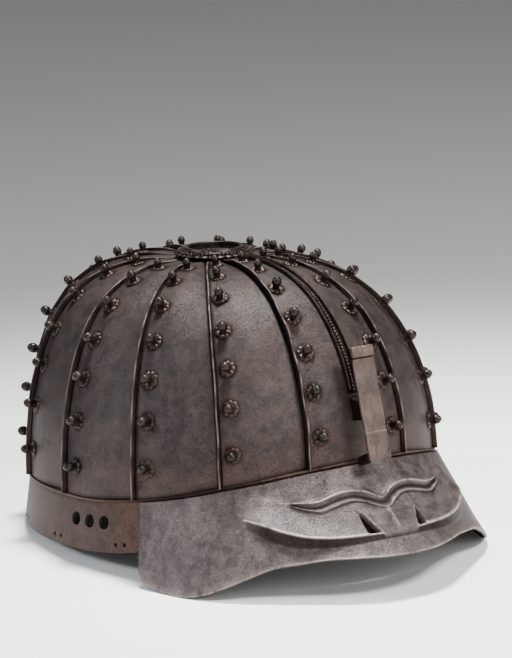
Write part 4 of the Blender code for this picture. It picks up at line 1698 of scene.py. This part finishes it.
        nose_half = np.interp(d, (22.0, 24.3, 37.0, 41.0), (8.4, 7.5, 4.2, 4.6))
        nose_top = np.interp(d, (17.0, 23.0, 25.5, 34.0, 36.0, 46.2), (0.0, 0.45, 0.70, 0.98, 0.94, 0.84))
        ridge_line = 0.10 * bell(angle, 0.0, 0.5) * smooth_step(22.0, 24.0, d) * smooth_step(36.0, 33.0, d)
        inside = smooth_step(0.20, -0.15, angle - nose_half) * smooth_step(38.0, 35.2, d)
        gain = self.nose_height * (nose_top + ridge_line) - height
        height = height + inside * np.where(d > 30.0, gain, np.maximum(gain, 0.0))

        pit_far = np.interp(d, (24.3, 34.5), (7.7, 7.6))
        pit = smooth_step(-0.05, 0.30, angle - nose_half) * smooth_step(0.30, -0.10, angle - pit_far)
        pit = pit * smooth_step(24.3, 25.6, d) * smooth_step(0.25, -0.35, d - crest + 0.6)
        height = height * (1.0 - pit) - 0.5 * MM * pit
        beside = 1.0 - inside * smooth_step(33.0, 34.5, d)

        brow_line = bell(t, 0.12, 0.07) + 0.7 * bell(t, 1.0, 0.06)
        horn_line = bell(d - crest, -0.25, 0.35) * smooth_step(36.9, 35.5, angle) * beside
        nose_line = bell(angle - nose_half, -0.25, 0.22) * smooth_step(23.5, 25.0, d)
        nose_line = nose_line * smooth_step(36.5, 35.0, d)
        wear = 0.65 * brow_line * brow_fade + 0.9 * horn_line + 0.4 * nose_line
        wear = wear + 0.22 * bell(angle, 0.0, 0.3) * smooth_step(23.0, 24.5, d) * smooth_step(35.0, 33.0, d)
        wear = wear + 0.35 * smooth_step(0.7, 0.1, edge - d)
        # Painted shade on the horns' undersides, in the pits beside the nose and in the brow's grooves.
        painted_shade = 0.8 * smooth_step(0.0, 0.12, fall) * smooth_step(1.0, 0.70, fall) * horn_fade * beside + pit
        painted_shade = painted_shade + 0.8 * bell(t, 0.58, 0.17) * brow_fade
        painted_shade = painted_shade + 0.6 * bell(t, 1.20, 0.08) * brow_fade
        return height, np.clip(wear, 0.0, 1.0), np.clip(painted_shade, 0.0, 1.0)

    def build(self) -> None:
        """Build, paint and hand over the peak."""
        fine = np.linspace(0.0, self.relief_end, self.front_columns, endpoint=False)
        wide = np.linspace(self.relief_end, self.half_angle, self.side_columns)
        half = np.concatenate([fine, wide]) / self.half_angle
        share = np.concatenate([-half[:0:-1], half])[:, None]
        angle = np.abs(share[:, 0]) * math.degrees(self.half_angle)
        drop = self.rows(angle)
        height, wear, painted_shade = self.relief(angle[:, None], drop)
        height = height + 0.22 * MM * waves(share * self.half_angle, drop / self.depth * 0.5, seed=21)
        points, normals = self.skin(share, drop), self.normals(share, drop)
        outer = points + normals * height[..., None]
        inner = points + normals * (height - self.thickness)[..., None]
        middle = (outer[:, -1] + inner[:, -1]) / 2.0
        onward = outer[:, -1] - outer[:, -2]
        lip = middle + onward / np.linalg.norm(onward, axis=-1, keepdims=True) * 0.3 * MM
        loops = np.concatenate([outer, lip[:, None], inner[:, ::-1]], axis=1)
        mesh = grid_mesh("peak", self.bowl.place.outward(loops), ring=False)
        piece = add_piece("peak", mesh)
        count, rows = drop.shape
        blank = np.zeros((count, rows + 1))
        down = smooth_step(0.0, 1.0, drop / self.depth)
        side = smooth_step(20.0, 55.0, angle)[:, None]
        # Rust follows the painted shade; the inner side is darker.
        rust = 0.30 * side + 0.9 * painted_shade + 0.3 * smooth_step(8.0 * MM, 2.0 * MM, drop) * (1.0 - down)
        paint(mesh, Paint.WEAR, np.hstack([wear, blank]))
        paint(mesh, Paint.SOOT_AND_SHADE, np.hstack([painted_shade, blank + 0.4]))
        paint(mesh, Paint.RUST, np.hstack([rust, blank + 0.3]))
        mesh.materials.append(self.bowl.finishes.of(self.bowl.finishes.peak))
        hand_over(piece, Slot.PEAK, "peak")


def rounded_corners(low: Pair, high: Pair, radius: float) -> list[Pair]:
    """Outline of a rectangle with rounded corners.

    Args:
        low: its least corner.
        high: its greatest corner.
        radius: radius of its corners.

    Returns:
        Points round the outline.
    """
    left, right = low[0] + radius, high[0] - radius
    bottom, top = low[1] + radius, high[1] - radius
    corners = []
    for x, y, start in ((right, top, 0.0), (left, top, 0.5), (left, bottom, 1.0), (right, bottom, 1.5)):
        for turn in np.linspace(start, start + 0.5, 4):
            corners.append((x + radius * math.cos(turn * math.pi), y + radius * math.sin(turn * math.pi)))
    return corners


@dataclass
class CrestHolder:
    """Flat upright holder with a lip at its top end, on a short post."""

    form: BowlForm
    width: float = 13.6 * MM
    length: float = 60.0 * MM
    thickness: float = 2.0 * MM
    stand_off: float = 19.0 * MM
    foot_rise: float = 2.2 * MM
    lean: float = math.radians(14.0)
    lip_length: float = 5.6 * MM
    lip_thickness: float = 0.9 * MM
    groove: float = 0.9 * MM
    scratch_at: float = 15.0 * MM
    bevel: float = 0.45 * MM
    post_width: float = 5.6 * MM
    post_height: float = 10.8 * MM
    post_rise: float = 20.0 * MM
    tab_width: float = 6.4 * MM
    tab_height: float = 4.2 * MM
    tab_reach: float = 9.0 * MM

    @property
    def up(self) -> Array:
        """Direction along the holder, towards its top."""
        return np.array([0.0, math.sin(self.lean), math.cos(self.lean)])

    @property
    def out(self) -> Array:
        """Direction out of the holder's front face."""
        return np.array([0.0, -math.cos(self.lean), math.sin(self.lean)])

    @property
    def foot(self) -> Array:
        """Middle of the front face's lower edge."""
        return np.array([0.0, -self.form.front_reach - self.stand_off, self.form.brow_rise + self.foot_rise])

    def face_middle(self) -> Array:
        """Middle of the plain front face below the lip."""
        return self.foot + self.up * (self.length - self.lip_length) / 2.0

    def placement(self) -> Placement:
        """Read from the record how the helmet's frame lies in the row's frame.

        Returns:
            The turn and shift from the helmet's frame to the row's.
        """
        mount = next(m for m in frame["record"]["mounts"] if m["name"] == "crest_face")
        axis = mount["axis"]
        tilt = math.atan2(axis[2], -axis[1]) - self.lean
        turn = np.array(Matrix.Rotation(-tilt, 3, "X"))
        return Placement(turn, np.array(mount["pos_m"]) - turn @ self.face_middle())

    def bar(self, stations: Sequence[tuple[float, float, float, float]]) -> Array:
        """Loops of a flat bar with softened edges.

        Args:
            stations: place along the holder, half width, front and back of each section.

        Returns:
            Points by station and position in the section.
        """
        loops = []
        for along, half, front, back in stations:
            radius = min(self.bevel, (front - back) / 3.0, half / 2.0)
            middle = self.foot + self.up * along
            corners = rounded_corners((-half, back), (half, front), radius)
            loops.append([middle + self.out * y + np.array([x, 0.0, 0.0]) for x, y in corners])
        return np.array(loops)

    def strip_stations(self) -> list[tuple[float, float, float, float]]:
        """Sections of the strip, from its foot to the end of its lip.

        Returns:
            Place along the holder, half width, front and back of each section.
        """
        half, back, r = self.width / 2.0, -self.thickness, self.bevel
        lip, top = self.length - self.lip_length, self.lip_thickness
        stations = [
            (0.0, half - r, -r, back + r),
            (r / 3.0, half - r / 4.0, -r / 4.0, back + r / 4.0),
            (r, half, 0.0, back),
            (lip - self.groove, half, 0.0, back),
            (lip - self.groove * 0.7, half - 0.3 * MM, -0.6 * MM, back),
            (lip - 0.1 * MM, half - 0.3 * MM, -0.6 * MM, back),
            (lip, half, top, back),
            (self.length - r, half, top, back),
            (self.length, half - r, top - r, back + r),
        ]
        for at in np.linspace(4.0 * MM, lip - 3.0 * MM, 22):
            stations.append((at, half + 0.12 * MM * math.sin(at / MM * 0.31), 0.0, back))
        for step, depth in ((-1, 0.0), (0, 0.16 * MM), (1, 0.0)):
            stations.append((self.scratch_at + step * 0.35 * MM, half, depth, back))
        return sorted(stations)

    def build(self, bowl: Bowl) -> None:
        """Build the strip, its post and the small tab at its foot, as one piece.

        Args:
            bowl: the bowl that the post stands on.
        """
        parts = [self.bar(self.strip_stations())]
        psi = np.linspace(0.0, 1.2, 400)
        front = self.form.point(0.0, psi, bowl.top_lift + 0.1 * MM)
        loops = []
        for reach in np.linspace(0.0, 1.0, 8):
            loop = []
            swell = 1.0 + 0.18 * (2.0 * reach - 1.0) ** 4
            for x, z in self.block(self.post_width * swell, self.post_height * swell):
                rise = self.post_rise + self.post_height / 2.0 + z
                near = self.foot + self.up * rise - self.out * self.thickness * 0.8
                seat = float(np.interp(near[2], front[:, 2], front[:, 1]))
                loop.append([x, near[1] + (seat - near[1]) * reach, near[2]])
            loops.append(loop)
        parts.append(np.array(loops))
        tab = []
        for reach in (0.0, 0.3, 0.7, 1.0):
            drop = 1.8 * MM * reach ** 2
            back = self.out * (self.thickness * 0.8 + self.tab_reach * reach)
            loop = []
            for x, z in self.block(self.tab_width, self.tab_height):
                beside = np.array([x - self.width / 2.0 + self.tab_width * 0.54, 0.0, -drop])
                loop.append(self.foot + self.up * (0.6 * self.tab_height + z) - back + beside)
            tab.append(loop)
        parts.append(np.array(tab))
        builder = bmesh.new()
        for number, part in enumerate(parts):
            mesh = grid_mesh(f"crest_part_{number}", bowl.place.outward(part), ring=False)
            builder.from_mesh(mesh)
            bpy.data.meshes.remove(mesh)
        mesh = bpy.data.meshes.new("crest_holder")
        builder.to_mesh(mesh)
        builder.free()
        piece = add_piece("crest_holder", mesh)
        points = bowl.place.inward(vertex_points(mesh)) - self.foot
        along, off = points @ self.up, points @ self.out
        edge = smooth_step(self.width / 2.0 - 0.7 * MM, self.width / 2.0, np.abs(points[:, 0]))
        scratch = bell(along, self.scratch_at, 0.3 * MM)
        on_face = smooth_step(-1.2 * MM, -0.4 * MM, off)
        lip = smooth_step(self.length - self.lip_length, self.length - 1.0 * MM, along)
        paint(mesh, Paint.WEAR, (0.3 * edge + 0.45 * scratch + 0.15 * lip) * on_face)
        paint(mesh, Paint.RUST, 0.45 + 0.4 * smooth_step(-1.8 * MM, -4.0 * MM, off))
        # Painted shade: the strip's back, the post and the tab are painted nearly black, and the groove
        # under the lip dark.
        from_lip = np.abs(along - self.length + self.lip_length)
        groove = smooth_step(-0.2 * MM, -0.5 * MM, off) * smooth_step(1.2 * MM, 0.8 * MM, from_lip)
        soot_and_shade = 0.95 * smooth_step(-1.2 * MM, -1.9 * MM, off) + 0.8 * groove
        paint(mesh, Paint.SOOT_AND_SHADE, np.clip(soot_and_shade, 0.0, 1.0))
        mesh.materials.append(bowl.finishes.of(bowl.finishes.crest))
        hand_over(piece, Slot.CREST, "crest_holder")

    def block(self, width: float, height: float) -> list[Pair]:
        """Section of a small block with softened corners."""
        high = (width / 2.0, height / 2.0)
        return rounded_corners((-high[0], -high[1]), high, self.bevel)


@dataclass(frozen=True)
class SoftLight:
    """Square soft box, or round lamp with a soft cone, that looks at the helmet."""

    name: str
    azimuth: float
    elevation: float
    distance: float
    size: float
    power: float
    colour: Colour = (1.0, 1.0, 1.0)
    cone: float = 0.0
    aim: tuple[float, float] = (0.0, 0.0)

    def build(self, target: Vector) -> None:
        """Add the light, aimed at a target or, if it has an aim, beside it.

        Args:
            target: the place that it looks at.
        """
        lamp = bpy.data.lights.new(self.name, "SPOT" if self.cone else "AREA")
        if self.cone:
            lamp.spot_size = math.radians(self.cone)
            lamp.spot_blend = 1.0
            lamp.shadow_soft_size = self.size / 2.0
        else:
            lamp.shape = "SQUARE"
            lamp.size = self.size
        lamp.energy = self.power
        lamp.color = self.colour
        light = bpy.data.objects.new(self.name, lamp)
        bpy.context.scene.collection.objects.link(light)
        away = direction(self.azimuth, self.elevation)
        light.location = target + away * self.distance
        away = light.location - target - Vector((*self.aim, 0.0))
        light.rotation_euler = away.to_track_quat("Z", "Y").to_euler()
        light.visible_camera = False


def direction(azimuth: float, elevation: float) -> Vector:
    """Unit direction from the helmet towards a viewer.

    Args:
        azimuth: turn from the front, in degrees, positive towards the wearer's left.
        elevation: height above the floor, in degrees.

    Returns:
        The direction.
    """
    a, e = math.radians(azimuth), math.radians(elevation)
    return Vector((math.sin(a) * math.cos(e), -math.cos(a) * math.cos(e), math.sin(e)))


@dataclass
class Studio:
    """Pale floor, soft light and the camera at the photograph's angle."""

    place: Placement
    floor_radius: float = 30.0
    floor_colour: Colour = (0.84, 0.83, 0.82)
    floor_roughness: float = 0.85
    world_colour: Colour = (0.92, 0.95, 1.0)
    world_strength: float = 0.14
    camera_azimuth: float = -36.12
    camera_elevation: float = 14.79
    camera_roll: float = 0.05
    camera_distance: float = 2.3814
    focal_pixels: float = 4371.5
    image_width: float = 512.0
    image_height: float = 658.0
    pivot_height: float = 2.13 * MM
    pivot_x: float = 231.1
    pivot_y: float = 460.0
    sensor: float = 36.0
    lights: tuple[SoftLight, ...] = (
        SoftLight(
            name="overhead", azimuth=140.0, elevation=80.0, distance=1.5, size=0.34, power=385.0,
            colour=(1.0, 0.99, 0.975), cone=60.0, aim=(-0.02, -0.26),
        ),
        SoftLight(
            name="key", azimuth=14.0, elevation=45.0, distance=1.3, size=0.26, power=22.0,
            colour=(1.0, 0.985, 0.965),
        ),
        SoftLight(name="low_right", azimuth=26.0, elevation=12.0, distance=1.5, size=1.0, power=13.0),
        SoftLight(name="low_front", azimuth=-34.0, elevation=12.0, distance=1.5, size=1.0, power=10.0),
        SoftLight(
            name="left_fill", azimuth=-114.0, elevation=29.0, distance=1.5, size=0.55, power=230.0,
            colour=(0.86, 0.93, 1.0), cone=17.0,
        ),
    )

    def build_floor(self) -> None:
        """Round pale floor at the height that the helmet rests on."""
        builder = bmesh.new()
        bmesh.ops.create_circle(builder, cap_ends=True, segments=96, radius=self.floor_radius)
        mesh = bpy.data.meshes.new("floor")
        builder.to_mesh(mesh)
        builder.free()
        material = bpy.data.materials.new("floor_paper")
        material.use_nodes = True
        shader = material.node_tree.nodes["Principled BSDF"]
        shader.inputs["Base Color"].default_value = (*self.floor_colour, 1.0)
        shader.inputs["Roughness"].default_value = self.floor_roughness
        mesh.materials.append(material)
        floor = bpy.data.objects.new("floor", mesh)
        bpy.context.scene.collection.objects.link(floor)

    def build_camera(self) -> None:
        """Camera whose view puts the pivot on its pixel of the photograph."""
        pivot = Vector(self.place.outward(np.array([0.0, 0.0, self.pivot_height])))
        data = bpy.data.cameras.new("camera")
        data.sensor_fit = "VERTICAL"
        data.sensor_height = self.sensor
        data.lens = self.focal_pixels * self.sensor / self.image_height
        camera = bpy.data.objects.new("camera", data)
        bpy.context.scene.collection.objects.link(camera)
        back = direction(self.camera_azimuth, self.camera_elevation)
        across = (self.pivot_x - self.image_width / 2.0) / self.focal_pixels
        above = (self.image_height / 2.0 - self.pivot_y) / self.focal_pixels
        aim = back
        for _ in range(4):
            right = Vector((0.0, 0.0, 1.0)).cross(aim).normalized()
            up = aim.cross(right)
            aim = (back + right * across + up * above).normalized()
        camera.location = pivot + back * self.camera_distance
        roll = Matrix.Rotation(math.radians(self.camera_roll), 3, aim)
        camera.rotation_euler = (roll @ Matrix((right, up, aim)).transposed()).to_euler()
        bpy.context.scene.camera = camera

    def build(self) -> None:
        """Build the studio."""
        world = bpy.data.worlds.new("studio")
        world.use_nodes = True
        sky = world.node_tree.nodes["Background"]
        sky.inputs["Color"].default_value = (*self.world_colour, 1.0)
        sky.inputs["Strength"].default_value = self.world_strength
        bpy.context.scene.world = world
        self.build_floor()
        self.build_camera()
        low, high = CAD_BOX
        for light in self.lights:
            light.build((Vector(low) + Vector(high)) / 2.0)


def main() -> None:
    """Build the helmet and its studio."""
    logging.basicConfig(level=logging.INFO, format="%(message)s")
    form = BowlForm()
    crest = CrestHolder(form)
    place = crest.placement()
    finishes = Finishes()
    bowl = Bowl(form, place, finishes)
    scatter = ScatterTree("stud_on_each_point")
    band = NeckBand(bowl)
    bowl.build()
    Rivets(bowl, scatter).build()
    FrontMoulding(bowl, scatter).build()
    Crown(bowl, scatter).build()
    band.build()
    Peak(bowl, band).build()
    crest.build(bowl)
    Studio(place).build()


if __name__ == "__main__":
    main()
